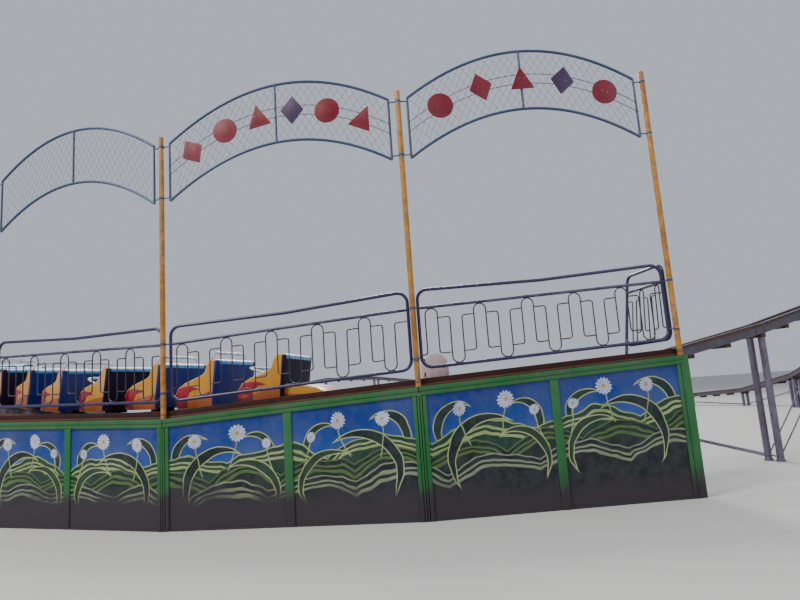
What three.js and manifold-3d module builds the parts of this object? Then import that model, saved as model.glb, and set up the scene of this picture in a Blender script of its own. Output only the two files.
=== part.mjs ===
// A rolling train ride: a closed ring of straight track modules on pipe legs, a four-bay boarding
// station in front with painted skirt panels, railings, masts and sign arches, and a parked train.
// Millimetres, Z up. The boarding front faces -Y and the origin is under the middle of the footprint.
import * as THREE from 'three';
import { mergeVertices } from 'three/addons/utils/BufferGeometryUtils.js';
import Module from 'manifold-3d';

const wasm = await Module();
wasm.setup();

// Ring plan: corners of the modules and bays lie on circles about the centre of the ride
const moduleCount = 28;
const bayAngle = 2 * Math.PI / moduleCount;
const halfBayAngle = bayAngle / 2;
const firstJointAngle = THREE.MathUtils.degToRad(-0.47);
const modulesPerSection = 4;
const facadeRadius = 13710;
const outerRailRadius = 12310;
const innerRailRadius = 12010;
const pathRadius = (outerRailRadius + innerRailRadius) / 2;

// Height of the rail tops at the valleys and crests round the ring, in degrees and millimetres
const railKnots = [[4, 1305], [62, 2780], [135, 500], [215, 2400], [262, 1300], [306, 2200], [364, 1305]];
const hillSharpness = 1.5;

// Track modules
const railDepth = 160;
const railWidth = 70;
const railThickness = 10;
const sectionGap = 0.25;
const tieWidth = 100;
const tieDepth = 60;
const legRadius = 50;
const legOffset = 112;
const legDepth = 54;
const footRadius = 80;
const footThickness = 10;

// Station: four bays, heights of the deck over the ground at the valley mast and outwards from it
const deckHeights = [1560, 1410, 1308, 1477, 1631];
const stationBays = deckHeights.length - 1;
const deckWidth = 870;
const deckThickness = 120;
const deckFront = 70;
const deckPostRadius = 30;
const pieceGap = 0.3;
const bayGap = 5;
const frameThickness = 60;
const frameTopRail = 180;
const frameBottomRail = 110;
const framePost = 90;
const panelThickness = 15;

// Masts, arches and sign plates
const mastRadius = 32;
const mastHeight = 3500;
const mastDepth = 36;
const postInset = 120;
const archTop = 3400;
const archBottom = 2643;
const archRise = 500;
const archRadius = 17.5;
const archSteps = 8;
const lugRadius = 8;
const plateThickness = 6;
const plateSize = 165;
const carrierHeight = 30;

// Railings
const railingDepth = 100;
const railingRadius = 19;
const railingTop = 1060;
const railingSecond = 850;
const railingBottom = 165;
const uprightRadius = 7;
const uprightsPerBay = 3;
const endRailingLength = 710;
const endRailingInset = 45;
const endPostLean = 150;

// Train of two-seat rows, numbered from the rear one
const rowCount = 9;
const rowPitchAngle = THREE.MathUtils.degToRad(4.45);
const rearRowAngle = THREE.MathUtils.degToRad(4.5);
const rowWidth = 1000;
const rowFloor = 60;
const wallThickness = 40;
const noseWidth = 780;
const padRadius = 48;
const wheelRadius = 55;
const wheelWidth = 40;
const wheelPlay = 5;
const wheelGap = 0.9;
const axleRadius = 20;
const kingPinWidth = 120;

// Lap bars: the pivot and arm in a row's own frame, forward and up
const pivotForward = 110;
const pivotHeight = 400;
const barReach = 410;
const barRadius = 16;
const barHalfWidth = 415;
const raisedAngle = THREE.MathUtils.degToRad(100);
const loweredAngle = THREE.MathUtils.degToRad(22);

const finishes = {
  deck: { color: 0x3a1d1a, roughness: 0.7, metalness: 0.1 },
  frame: { color: 0x3f8a4a, roughness: 0.6, metalness: 0.0 },
  panel: { color: 0x1f78c8, roughness: 0.55, metalness: 0.0 },
  pipe: { color: 0x23234f, roughness: 0.45, metalness: 0.3 },
  mast: { color: 0xc9922e, roughness: 0.5, metalness: 0.2 },
  arch: { color: 0x4f6f8c, roughness: 0.5, metalness: 0.3 },
  sign: { color: 0x9c1f2c, roughness: 0.5, metalness: 0.1 },
  track: { color: 0x6f6d69, roughness: 0.65, metalness: 0.5 },
  blueRow: { color: 0x1d3f8f, roughness: 0.4, metalness: 0.0 },
  purpleRow: { color: 0x2b2547, roughness: 0.4, metalness: 0.0 },
  bar: { color: 0xe6ecf2, roughness: 0.35, metalness: 0.4 },
  box: { color: 0xe9dede, roughness: 0.6, metalness: 0.0 },
};

const alongX = new THREE.Vector3(1, 0, 0);
const alongY = new THREE.Vector3(0, 1, 0);
const alongZ = new THREE.Vector3(0, 0, 1);

// A closed geometry as a solid that can be joined and cut
function solidFrom(geometry, matrix = new THREE.Matrix4()) {
  const bare = geometry.clone();
  bare.deleteAttribute('normal');
  bare.deleteAttribute('uv');
  const merged = mergeVertices(bare, 1e-3);
  merged.applyMatrix4(matrix);
  return new wasm.Manifold(new wasm.Mesh({
    numProp: 3,
    vertProperties: new Float32Array(merged.attributes.position.array),
    triVerts: new Uint32Array(merged.index.array),
  }));
}

// The same closed geometry with its faces turned the other way round
function facingOut(geometry) {
  const places = geometry.attributes.position;
  const turned = places.clone();
  for (let vertex = 0; vertex < places.count; vertex += 3) {
    for (const [from, to] of [[1, 2], [2, 1]]) {
      turned.setXYZ(vertex + to, places.getX(vertex + from), places.getY(vertex + from), places.getZ(vertex + from));
    }
  }
  const flipped = geometry.clone();
  flipped.setAttribute('position', turned);
  return flipped;
}

function joined(solids) {
  return solids.reduce((whole, solid) => whole.add(solid));
}

function geometryFrom(solid) {
  const mesh = solid.getMesh();
  const geometry = new THREE.BufferGeometry();
  geometry.setAttribute('position', new THREE.BufferAttribute(mesh.vertProperties, 3));
  geometry.setIndex(new THREE.BufferAttribute(mesh.triVerts, 1));
  geometry.computeVertexNormals();
  return geometry;
}

function named(name, solid, finish) {
  const mesh = new THREE.Mesh(geometryFrom(solid), new THREE.MeshStandardMaterial(finishes[finish]));
  mesh.name = name;
  return mesh;
}

function boxSolid(low, high) {
  const geometry = new THREE.BoxGeometry(high[0] - low[0], high[1] - low[1], high[2] - low[2]);
  const middle = low.map((value, axis) => (value + high[axis]) / 2);
  return solidFrom(geometry, new THREE.Matrix4().makeTranslation(...middle));
}

// A round bar between two points
function rod(start, end, radius, sides = 6) {
  const direction = end.clone().sub(start);
  const geometry = new THREE.CylinderGeometry(radius, radius, direction.length(), sides);
  const turn = new THREE.Quaternion().setFromUnitVectors(alongY, direction.clone().normalize());
  const middle = start.clone().add(end).multiplyScalar(0.5);
  return solidFrom(geometry, new THREE.Matrix4().compose(middle, turn, new THREE.Vector3(1, 1, 1)));
}

// A frame at start with X towards end, Y level and Z up
function frameAlong(start, end) {
  const forward = end.clone().sub(start).normalize();
  const side = alongZ.clone().cross(forward).normalize();
  const up = forward.clone().cross(side);
  return new THREE.Matrix4().makeBasis(forward, side, up).setPosition(start);
}

function shapeOf(outline) {
  return new THREE.Shape(outline.map(([across, up]) => new THREE.Vector2(across, up)));
}

// An elevation drawn along X and up, with its thickness along Y from front to back
function elevation(shape, front, back) {
  const geometry = new THREE.ExtrudeGeometry(shape, { depth: back - front, bevelEnabled: false, curveSegments: 6 });
  const turn = new THREE.Matrix4().makeBasis(alongX, alongZ, alongY.clone().negate());
  geometry.applyMatrix4(turn.setPosition(0, back, 0));
  return geometry;
}

// A plan outline drawn in X and Y with its thickness along Z
function plan(outline, bottom, top) {
  const geometry = new THREE.ExtrudeGeometry(shapeOf(outline), { depth: top - bottom, bevelEnabled: false });
  geometry.applyMatrix4(new THREE.Matrix4().makeTranslation(0, 0, bottom));
  return geometry;
}

function ringPoint(radius, angle, height) {
  return new THREE.Vector3(radius * Math.sin(angle), -radius * Math.cos(angle), height);
}

// Each stretch rises from its valley to its crest as a rounded step
function railHeight(angle) {
  const [start] = railKnots[0];
  const degrees = start + THREE.MathUtils.euclideanModulo(THREE.MathUtils.radToDeg(angle) - start, 360);
  const next = railKnots.findIndex(([place]) => place > degrees);
  const stretch = [railKnots[next - 1], railKnots[next]].sort((one, other) => one[1] - other[1]);
  const [[valleyPlace, valley], [crestPlace, crest]] = stretch;
  const share = (degrees - valleyPlace) / (crestPlace - valleyPlace);
  return valley + (crest - valley) * ((1 - Math.cos(Math.PI * share)) / 2) ** hillSharpness;
}

function jointPoint(radius, index) {
  const angle = firstJointAngle + index * bayAngle;
  return ringPoint(radius, angle, railHeight(angle));
}

// A point on the straight line between two joints of the ring
function pointOnModule(radius, { index, share }) {
  return jointPoint(radius, index).lerp(jointPoint(radius, index + 1), share);
}

// A channel bent at the joints of a section, with its web on a ring and its flanges to one side
function channel(webRadius, inward, stations) {
  const lip = railDepth - railThickness;
  const outline = [
    [0, 0], [railWidth, 0], [railWidth, -railThickness], [railThickness, -railThickness],
    [railThickness, -lip], [railWidth, -lip], [railWidth, -railDepth], [0, -railDepth],
  ];
  const steps = stations.length - 1;
  const straight = new THREE.ExtrudeGeometry(shapeOf(outline), { depth: steps, steps, bevelEnabled: false });
  const places = straight.attributes.position;
  const corner = new THREE.Vector3();
  for (let vertex = 0; vertex < places.count; vertex++) {
    corner.fromBufferAttribute(places, vertex);
    const place = pointOnModule(webRadius - inward * corner.x, stations[Math.round(corner.z)]);
    places.setXYZ(vertex, place.x, place.y, place.z + corner.y);
  }
  return solidFrom(inward > 0 ? straight : facingOut(straight));
}

// A pipe leg with a round foot, from the ground up into a tie
function leg(place, topHeight) {
  const profile = [
    [0, 0], [footRadius, 0], [footRadius, footThickness], [legRadius, footThickness], [legRadius, topHeight], [0, topHeight],
  ];
  const geometry = new THREE.LatheGeometry(profile.map(([across, up]) => new THREE.Vector2(across, up)), 6);
  const upright = new THREE.Matrix4().makeRotationX(Math.PI / 2).setPosition(place.x, place.y, 0);
  return solidFrom(geometry, upright);
}

// A tie under the lower flanges, from the outer channel to the inner one
function tie(outer, inner) {
  const top = railThickness / 2 - railDepth;
  const half = tieWidth / 2;
  const from = [railThickness / 2, -half, top - tieDepth];
  const to = [outer.distanceTo(inner) - railThickness / 2, half, top];
  return solidFrom(geometryFrom(boxSolid(from, to)), frameAlong(outer, inner));
}

// A tie that stands on two legs
function legFrame(outer, inner) {
  const inward = inner.clone().sub(outer).normalize();
  const top = outer.z - railDepth - tieDepth / 2;
  const outerLeg = leg(outer.clone().addScaledVector(inward, legDepth), top);
  const innerLeg = leg(inner.clone().addScaledVector(inward, -legDepth), top);
  return joined([tie(outer, inner), outerLeg, innerLeg]);
}

// A section of straight modules that share their legs at the joints inside it
function trackSection(number) {
  const first = number * modulesPerSection;
  const last = first + modulesPerSection - 1;
  const moduleLength = jointPoint(outerRailRadius, first).distanceTo(jointPoint(outerRailRadius, first + 1));
  const gapShare = sectionGap / moduleLength;
  const legShare = legOffset / moduleLength;
  const joints = [];
  for (let index = first + 1; index <= last; index++) joints.push({ index, share: 0 });
  const ends = [{ index: first, share: gapShare }, ...joints, { index: last, share: 1 - gapShare }];
  const framePlaces = [{ index: first, share: legShare }, ...joints, { index: last, share: 1 - legShare }];
  const solids = [channel(outerRailRadius, 1, ends), channel(innerRailRadius, -1, ends)];
  for (const place of framePlaces) {
    solids.push(legFrame(pointOnModule(outerRailRadius, place), pointOnModule(innerRailRadius, place)));
  }
  for (let index = first; index <= last; index++) {
    const place = { index, share: 0.5 };
    solids.push(tie(pointOnModule(outerRailRadius, place), pointOnModule(innerRailRadius, place)));
  }
  return named(`track_section_${number + 1}`, joined(solids), 'track');
}

// Bay frame: X runs along the front from the bay's left mast, Y points inwards, Z is up
const bayLength = 2 * facadeRadius * Math.sin(halfBayAngle);

function mastAngle(index) {
  return (index - stationBays / 2) * bayAngle;
}

function bayHeight(bay, distance) {
  return THREE.MathUtils.lerp(deckHeights[bay], deckHeights[bay + 1], distance / bayLength);
}

function raisedWithBay(geometry, bay) {
  const slope = (deckHeights[bay + 1] - deckHeights[bay]) / bayLength;
  const lift = new THREE.Matrix4().set(1, 0, 0, 0, 0, 1, 0, 0, slope, 0, 1, deckHeights[bay], 0, 0, 0, 1);
  return solidFrom(geometry, lift);
}

function deck(bay) {
  const mitre = Math.tan(halfBayAngle);
  const start = deckFront * mitre + bayGap / 2;
  const inner = (deckFront + deckWidth) * mitre + bayGap / 2;
  const outline = [
    [start, deckFront], [bayLength - start, deckFront],
    [bayLength - inner, deckFront + deckWidth], [inner, deckFront + deckWidth],
  ];
  const solids = [raisedWithBay(plan(outline, -deckThickness, 0), bay)];
  const postRows = [deckFront + 2 * framePost, deckFront + deckWidth - 2 * deckPostRadius];
  for (const depth of postRows) {
    for (const share of [0.12, 0.5, 0.88]) {
      const place = new THREE.Vector3(bayLength * share, depth, 0);
      const top = place.clone().setZ(bayHeight(bay, place.x) - deckThickness / 2);
      solids.push(rod(place, top, deckPostRadius));
    }
  }
  return joined(solids);
}

// The skirt frame: a sloping top rail, a level foot rail, end posts and a middle post
function skirtFrame(bay) {
  const from = frameThickness * Math.tan(halfBayAngle) + bayGap / 2;
  const to = bayLength - from;
  const top = (distance) => bayHeight(bay, distance) - deckThickness;
  const plate = elevation(shapeOf([[from, 0], [to, 0], [to, top(to)], [from, top(from)]]), 0, frameThickness);
  const middle = bayLength / 2;
  const windows = [[from + framePost, middle - framePost / 2], [middle + framePost / 2, to - framePost]];
  return windows.reduce((frame, [left, right]) => {
    const corners = [
      [left, frameBottomRail], [right, frameBottomRail],
      [right, top(right) - frameTopRail], [left, top(left) - frameTopRail],
    ];
    return frame.subtract(solidFrom(elevation(shapeOf(corners), -1, frameThickness + 1)));
  }, solidFrom(plate));
}

function skirtPanel(bay) {
  const mitre = (frameThickness + panelThickness) * Math.tan(halfBayAngle);
  const from = mitre + bayGap;
  const to = bayLength - from;
  const top = (distance) => bayHeight(bay, distance) - deckThickness - pieceGap;
  const shape = shapeOf([[from, 0], [to, 0], [to, top(to)], [from, top(from)]]);
  const front = frameThickness + pieceGap;
  return solidFrom(elevation(shape, front, front + panelThickness));
}

// The centre of the mast at either end of a bay, in the bay's frame
function mastInBay(atEnd) {
  const across = mastDepth * Math.sin(halfBayAngle);
  const depth = mastDepth * Math.cos(halfBayAngle);
  return new THREE.Vector3(atEnd ? bayLength - across : across, depth, 0);
}

// A lug from a piece to just short of the mast
function mastLug(from, atEnd) {
  const mast = mastInBay(atEnd).setZ(from.z);
  const direction = mast.clone().sub(from);
  const reach = direction.length() - mastRadius - pieceGap;
  return rod(from, from.clone().addScaledVector(direction.normalize(), reach), lugRadius, 4);
}

function railing(bay) {
  const ends = [postInset, bayLength - postInset];
  const at = (distance, height) => new THREE.Vector3(distance, railingDepth, bayHeight(bay, distance) + height);
  const solids = [];
  for (const height of [railingBottom, railingSecond, railingTop]) {
    solids.push(rod(at(ends[0], height), at(ends[1], height), railingRadius));
  }
  ends.forEach((distance, index) => {
    solids.push(rod(at(distance, railingBottom - railingRadius), at(distance, railingTop + railingRadius), railingRadius));
    for (const height of [railingBottom + 100, railingSecond]) {
      solids.push(mastLug(at(distance, height), index === 1));
    }
  });
  for (let count = 1; count <= uprightsPerBay; count++) {
    const distance = THREE.MathUtils.lerp(ends[0], ends[1], count / (uprightsPerBay + 1));
    solids.push(rod(at(distance, railingBottom), at(distance, railingSecond), uprightRadius, 4));
  }
  return joined(solids);
}

// The railing across an open end of the deck, along its mitred edge, with a far post that leans
function endRailing(bay, atEnd) {
  const edge = atEnd ? bayLength : 0;
  const towardsMiddle = atEnd ? -1 : 1;
  const start = railingDepth + railingRadius + 40;
  const at = (share, height) => {
    const depth = start + share * endRailingLength;
    const lean = endPostLean * share * (1 - height / railingTop);
    const distance = edge + towardsMiddle * (depth * Math.tan(halfBayAngle) + endRailingInset + lean);
    return new THREE.Vector3(distance, depth, bayHeight(bay, distance) + height);
  };
  const solids = [];
  for (const height of [railingBottom, railingSecond, railingTop]) {
    solids.push(rod(at(0, height), at(1, height), railingRadius));
  }
  const slope = Math.abs(deckHeights[bay + 1] - deckHeights[bay]) / bayLength;
  const steepness = slope + endPostLean / railingTop;
  const seats = [slope * railingRadius + pieceGap, steepness * railingRadius + pieceGap];
  seats.forEach((seat, share) => solids.push(rod(at(share, seat), at(share, railingTop + railingRadius), railingRadius)));
  for (const share of [1 / 3, 2 / 3]) {
    solids.push(rod(at(share, railingBottom), at(share, railingSecond), uprightRadius, 4));
  }
  return joined(solids);
}

// Height of an arch line over the ground: straight between its ends plus a rounded rise
function archHeight(bay, distance, endHeight) {
  const share = (distance - postInset) / (bayLength - 2 * postInset);
  const from = deckHeights[bay] + endHeight;
  const to = deckHeights[bay + 1] + endHeight;
  return THREE.MathUtils.lerp(from, to, share) + archRise * 4 * share * (1 - share);
}

function archLine(bay, endHeight) {
  const points = [];
  for (let step = 0; step <= archSteps; step++) {
    const distance = THREE.MathUtils.lerp(postInset, bayLength - postInset, step / archSteps);
    points.push(new THREE.Vector3(distance, mastDepth, archHeight(bay, distance, endHeight)));
  }
  return points;
}

function arch(bay) {
  const section = new THREE.Shape();
  section.absarc(0, 0, archRadius, 0, 2 * Math.PI);
  const solids = [archTop, archBottom].map((endHeight) => {
    const line = new THREE.CatmullRomCurve3(archLine(bay, endHeight));
    return solidFrom(new THREE.ExtrudeGeometry(section, {
      steps: archSteps, curveSegments: 3, bevelEnabled: false, extrudePath: line,
    }));
  });
  const struts = [postInset, bayLength / 2, bayLength - postInset];
  for (const distance of struts) {
    const low = new THREE.Vector3(distance, mastDepth, archHeight(bay, distance, archBottom));
    const high = low.clone().setZ(archHeight(bay, distance, archTop));
    solids.push(rod(low, high, archRadius));
  }
  for (const height of [archBottom + 40, archTop - 40]) {
    const left = new THREE.Vector3(postInset, mastDepth, deckHeights[bay] + height);
    const right = new THREE.Vector3(bayLength - postInset, mastDepth, deckHeights[bay + 1] + height);
    solids.push(mastLug(left, false), mastLug(right, true));
  }
  return joined(solids);
}

// Plain shapes for the sign plates, drawn about their own centre
const plateShapes = {
  diamond: () => shapeOf([[0, -plateSize], [0.8 * plateSize, 0], [0, plateSize], [-0.8 * plateSize, 0]]),
  disc: () => new THREE.Shape().absarc(0, 0, 0.85 * plateSize, 0, 2 * Math.PI),
  triangle: () => shapeOf([[-0.8 * plateSize, -0.7 * plateSize], [0.8 * plateSize, -0.7 * plateSize], [0, 0.9 * plateSize]]),
};

// Plates on a curved flat bar that lies against the front of the arch's struts
function signPlates(bay, order) {
  const endHeight = (archTop + archBottom) / 2;
  const upper = archLine(bay, endHeight + carrierHeight / 2).map(({ x, z }) => [x, z]);
  const lower = archLine(bay, endHeight - carrierHeight / 2).map(({ x, z }) => [x, z]).reverse();
  const back = mastDepth - archRadius - pieceGap;
  const front = back - plateThickness;
  const solids = [solidFrom(elevation(shapeOf([...upper, ...lower]), front, back))];
  order.forEach((kind, index) => {
    const distance = bayLength * (index + 1) / (order.length + 1);
    const height = archHeight(bay, distance, endHeight);
    const slope = Math.atan2(archHeight(bay, distance + 1, endHeight) - height, 1);
    const place = new THREE.Matrix4().makeRotationY(-slope).setPosition(distance, 0, height);
    solids.push(solidFrom(elevation(plateShapes[kind](), front - 2, back), place));
  });
  return joined(solids);
}

function mast(index) {
  const slopes = [0];
  if (index > 0) slopes.push((deckHeights[index - 1] - deckHeights[index]) / bayLength);
  if (index < stationBays) slopes.push((deckHeights[index + 1] - deckHeights[index]) / bayLength);
  const lift = Math.max(...slopes) * mastRadius + pieceGap;
  const angle = mastAngle(index);
  const foot = ringPoint(facadeRadius - mastDepth, angle, deckHeights[index] - deckThickness + lift);
  const top = foot.clone().setZ(deckHeights[index] + mastHeight);
  return rod(foot, top, mastRadius, 16);
}

// Train rows: X is forward, Y points outwards and Z is up, from the rail tops under the row's rear
const sideOutline = [
  [0, rowFloor], [615, rowFloor], [640, 130], [645, 200], [625, 262], [560, 338], [440, 405], [290, 455],
  [170, 500], [110, 545], [85, 640], [30, 680], [-80, 680],
];
const wellOutline = [[70, 250], [290, 250], [310, 110], [530, 110], [530, 900], [-38, 900]];
const cowlOutline = [[20, rowFloor], [20, 300], [-180, 290], [-480, 230], [-600, 150], [-600, rowFloor]];

function forwardSection(outline, halfWidth) {
  return solidFrom(elevation(shapeOf(outline), -halfWidth, halfWidth));
}

function rowBody(hasCowl) {
  const half = rowWidth / 2;
  const nose = noseWidth / 2;
  const planOutline = [
    [-120, -half], [400, -half], [560, -nose - 60], [650, -nose],
    [650, nose], [560, nose + 60], [400, half], [-120, half],
  ];
  const shell = forwardSection(sideOutline, half).intersect(solidFrom(plan(planOutline, 0, 1000)));
  const well = forwardSection(wellOutline, half - wallThickness);
  const padLine = [-padRadius, 668];
  const start = new THREE.Vector3(padLine[0], -half + wallThickness, padLine[1]);
  const end = start.clone().setY(half - wallThickness);
  const body = shell.subtract(well).add(rod(start, end, padRadius, 8));
  if (!hasCowl) return body;
  return body.add(forwardSection(cowlOutline, half - 2 * wallThickness));
}

// Where a row stands on the straight modules, and how its body and its bogie are turned
function rowPlace(angle) {
  const index = Math.floor((angle - firstJointAngle) / bayAngle);
  const middleAngle = firstJointAngle + (index + 0.5) * bayAngle;
  const fromMiddle = pathRadius * Math.cos(halfBayAngle) * Math.tan(angle - middleAngle);
  const railPoint = (radius) => {
    const share = 0.5 + fromMiddle / (2 * radius * Math.sin(halfBayAngle));
    return pointOnModule(radius, { index, share });
  };
  const outer = railPoint(outerRailRadius);
  const inner = railPoint(innerRailRadius);
  const origin = inner.clone().lerp(outer, 0.5);
  const step = 0.02;
  const ahead = ringPoint(pathRadius, angle - step, railHeight(angle - step));
  const behind = ringPoint(pathRadius, angle + step, railHeight(angle + step));
  const body = frameAlong(origin, origin.clone().add(ahead.sub(behind)));
  const outward = outer.clone().sub(inner).normalize();
  const chord = jointPoint(pathRadius, index).sub(jointPoint(pathRadius, index + 1)).normalize();
  const up = chord.cross(outward).normalize();
  const bogie = new THREE.Matrix4().makeBasis(outward.clone().cross(up), outward, up).setPosition(origin);
  return { body, bogie };
}

// A bogie on a slope: two wheels on the lower flanges, their axle and the pin under the row
function bogieSolid(slopeCosine) {
  const gauge = (outerRailRadius - pathRadius) * Math.cos(halfBayAngle) - railThickness - wheelPlay;
  const height = (railThickness - railDepth) * slopeCosine + wheelRadius + wheelGap;
  const wheelAt = (side) => rod(
    new THREE.Vector3(0, side * (gauge - wheelWidth), height),
    new THREE.Vector3(0, side * gauge, height), wheelRadius, 8,
  );
  const axle = rod(new THREE.Vector3(0, -gauge, height), new THREE.Vector3(0, gauge, height), axleRadius, 4);
  const half = kingPinWidth / 2;
  const kingPin = boxSolid([-half, -half, height - axleRadius], [half, half, rowFloor + 30]);
  return joined([wheelAt(1), wheelAt(-1), axle, kingPin]);
}

function lapBar() {
  const stub = rowWidth / 2 - wallThickness - pieceGap;
  const at = (forward, side) => new THREE.Vector3(forward, side, 0);
  return joined([
    rod(at(0, -barHalfWidth), at(barReach, -barHalfWidth), barRadius),
    rod(at(0, barHalfWidth), at(barReach, barHalfWidth), barRadius),
    rod(at(barReach, -barHalfWidth - barRadius), at(barReach, barHalfWidth + barRadius), barRadius),
    rod(at(0, -stub), at(0, -barHalfWidth + barRadius), barRadius),
    rod(at(0, barHalfWidth - barRadius), at(0, stub), barRadius),
  ]);
}

function addTrain(ring) {
  const axleForward = 330;
  const bar = lapBar();
  for (let number = 1; number <= rowCount; number++) {
    const angle = rearRowAngle - (number - 1) * rowPitchAngle - axleForward / pathRadius;
    const { body, bogie } = rowPlace(angle);
    body.multiply(new THREE.Matrix4().makeTranslation(-axleForward, 0, 0));
    const purple = number % 3 === 1;
    const relative = body.clone().invert().multiply(bogie);
    const slopeCosine = bogie.elements[10];
    const undercarriage = solidFrom(geometryFrom(bogieSolid(slopeCosine)), relative);
    const row = named(`seat_row_${number}`, rowBody(number === 1).add(undercarriage), purple ? 'purpleRow' : 'blueRow');
    body.decompose(row.position, row.quaternion, row.scale);
    const lapBarMesh = named(`lap_bar_${number}`, bar, 'bar');
    lapBarMesh.position.set(pivotForward, 0, pivotHeight);
    lapBarMesh.rotation.y = -(purple ? loweredAngle : raisedAngle);
    const rowGroup = new THREE.Group();
    rowGroup.position.copy(row.position);
    rowGroup.quaternion.copy(row.quaternion);
    rowGroup.add(lapBarMesh);
    ring.add(row, rowGroup);
  }
}

// A small round-topped control box on the deck, beside the outer railing
function controlBox() {
  const shape = new THREE.Shape();
  shape.moveTo(-150, 0);
  shape.lineTo(150, 0);
  shape.lineTo(150, 170);
  shape.absarc(0, 170, 150, 0, Math.PI);
  return solidFrom(elevation(shape, -110, 110));
}

function addStation(ring) {
  const plateOrders = {
    2: ['diamond', 'disc', 'triangle', 'diamond', 'disc', 'triangle'],
    3: ['disc', 'diamond', 'triangle', 'diamond', 'disc'],
  };
  for (let bay = 0; bay < stationBays; bay++) {
    const group = new THREE.Group();
    const corner = ringPoint(facadeRadius, mastAngle(bay), 0);
    group.position.copy(corner);
    group.rotation.z = mastAngle(bay) + halfBayAngle;
    const label = bay + 1;
    group.add(
      named(`deck_${label}`, deck(bay), 'deck'),
      named(`skirt_frame_${label}`, skirtFrame(bay), 'frame'),
      named(`skirt_panel_${label}`, skirtPanel(bay), 'panel'),
      named(`railing_${label}`, railing(bay), 'pipe'),
      named(`arch_${label}`, arch(bay), 'arch'),
    );
    if (bay in plateOrders) group.add(named(`sign_plates_${label}`, signPlates(bay, plateOrders[bay]), 'sign'));
    if (bay === 0) group.add(named('end_railing_left', endRailing(bay, false), 'pipe'));
    if (bay === stationBays - 1) {
      group.add(named('end_railing_right', endRailing(bay, true), 'pipe'));
      const box = named('control_box', controlBox(), 'box');
      const distance = 250;
      const slope = (deckHeights[bay + 1] - deckHeights[bay]) / bayLength;
      box.position.set(distance, 400, bayHeight(bay, distance) + 150 * slope + pieceGap);
      group.add(box);
    }
    ring.add(group);
  }
  for (let index = 0; index <= stationBays; index++) {
    ring.add(named(`mast_${index + 1}`, mast(index), 'mast'));
  }
}

const ride = new THREE.Group();
const ring = new THREE.Group();
for (let number = 0; number < moduleCount / modulesPerSection; number++) {
  ring.add(trackSection(number));
}
addStation(ring);
addTrain(ring);
ride.add(ring);

// The origin lies under the middle of the footprint
ring.updateMatrixWorld(true);
const footprint = new THREE.Box3().setFromObject(ring, true).getCenter(new THREE.Vector3());
ring.position.set(-footprint.x, -footprint.y, 0);

export default ride;
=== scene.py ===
import math

import bmesh
import bpy
from mathutils import Matrix, Vector


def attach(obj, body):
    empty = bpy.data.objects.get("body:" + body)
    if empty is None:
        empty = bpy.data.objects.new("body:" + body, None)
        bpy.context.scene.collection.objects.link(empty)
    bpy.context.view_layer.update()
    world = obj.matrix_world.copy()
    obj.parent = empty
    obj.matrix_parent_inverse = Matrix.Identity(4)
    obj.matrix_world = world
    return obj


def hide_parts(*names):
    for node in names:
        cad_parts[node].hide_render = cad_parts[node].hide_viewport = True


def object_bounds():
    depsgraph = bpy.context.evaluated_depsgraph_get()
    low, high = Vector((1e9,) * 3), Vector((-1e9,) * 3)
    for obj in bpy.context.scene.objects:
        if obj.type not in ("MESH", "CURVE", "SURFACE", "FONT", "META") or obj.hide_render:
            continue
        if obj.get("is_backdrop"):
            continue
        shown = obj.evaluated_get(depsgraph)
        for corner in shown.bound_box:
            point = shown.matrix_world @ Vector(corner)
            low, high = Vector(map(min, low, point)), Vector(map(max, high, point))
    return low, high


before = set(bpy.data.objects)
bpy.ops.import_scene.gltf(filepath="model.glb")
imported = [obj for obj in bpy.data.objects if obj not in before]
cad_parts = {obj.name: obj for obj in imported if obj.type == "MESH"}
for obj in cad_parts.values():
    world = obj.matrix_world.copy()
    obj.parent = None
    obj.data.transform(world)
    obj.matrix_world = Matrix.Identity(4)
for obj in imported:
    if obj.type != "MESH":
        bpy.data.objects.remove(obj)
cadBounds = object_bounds()
print("frame loaded")

up = Vector((0, 0, 1))

# The ring's plan and rail heights, in metres and degrees, as the solids have them
ring = {
    "shift": 0.6866876,
    "modules": 28,
    "firstJoint": -0.47,
    "facade": 13.71,
    "outerRail": 12.31,
    "innerRail": 12.01,
    "path": 12.16,
    "knots": [(4, 1.305), (62, 2.78), (135, 0.5), (215, 2.4), (262, 1.3), (306, 2.2), (364, 1.305)],
    "sharpness": 1.5,
    "deckHeights": [1.56, 1.41, 1.308, 1.477, 1.631],
    "deckThickness": 0.12,
}
moduleAngle = 2 * math.pi / ring["modules"]
firstJoint = math.radians(ring["firstJoint"])
bayCount = len(ring["deckHeights"]) - 1
bayLength = 2 * ring["facade"] * math.sin(moduleAngle / 2)
mitre = math.tan(moduleAngle / 2)


def ringPoint(radius, angle, height):
    return Vector((radius * math.sin(angle), ring["shift"] - radius * math.cos(angle), height))


def railHeight(angle):
    start = ring["knots"][0][0]
    place = start + (math.degrees(angle) - start) % 360
    after = next(index for index, knot in enumerate(ring["knots"]) if knot[0] > place)
    valley, crest = sorted(ring["knots"][after - 1:after + 1], key=lambda knot: knot[1])
    share = (place - valley[0]) / (crest[0] - valley[0])
    rise = ((1 - math.cos(math.pi * share)) / 2) ** ring["sharpness"]
    return valley[1] + (crest[1] - valley[1]) * rise


def jointPoint(radius, index):
    angle = firstJoint + index * moduleAngle
    return ringPoint(radius, angle, railHeight(angle))


def pointOnModule(radius, index, share):
    return jointPoint(radius, index).lerp(jointPoint(radius, index + 1), share)


def axesAt(origin, first, second, third):
    turned = Matrix((first, second, third)).transposed().to_4x4()
    turned.translation = origin
    return turned


def frameAlong(start, end):
    forward = (end - start).normalized()
    side = up.cross(forward).normalized()
    return axesAt(start, forward, side, forward.cross(side))


def mastAngle(index):
    return (index - bayCount / 2) * moduleAngle


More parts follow.
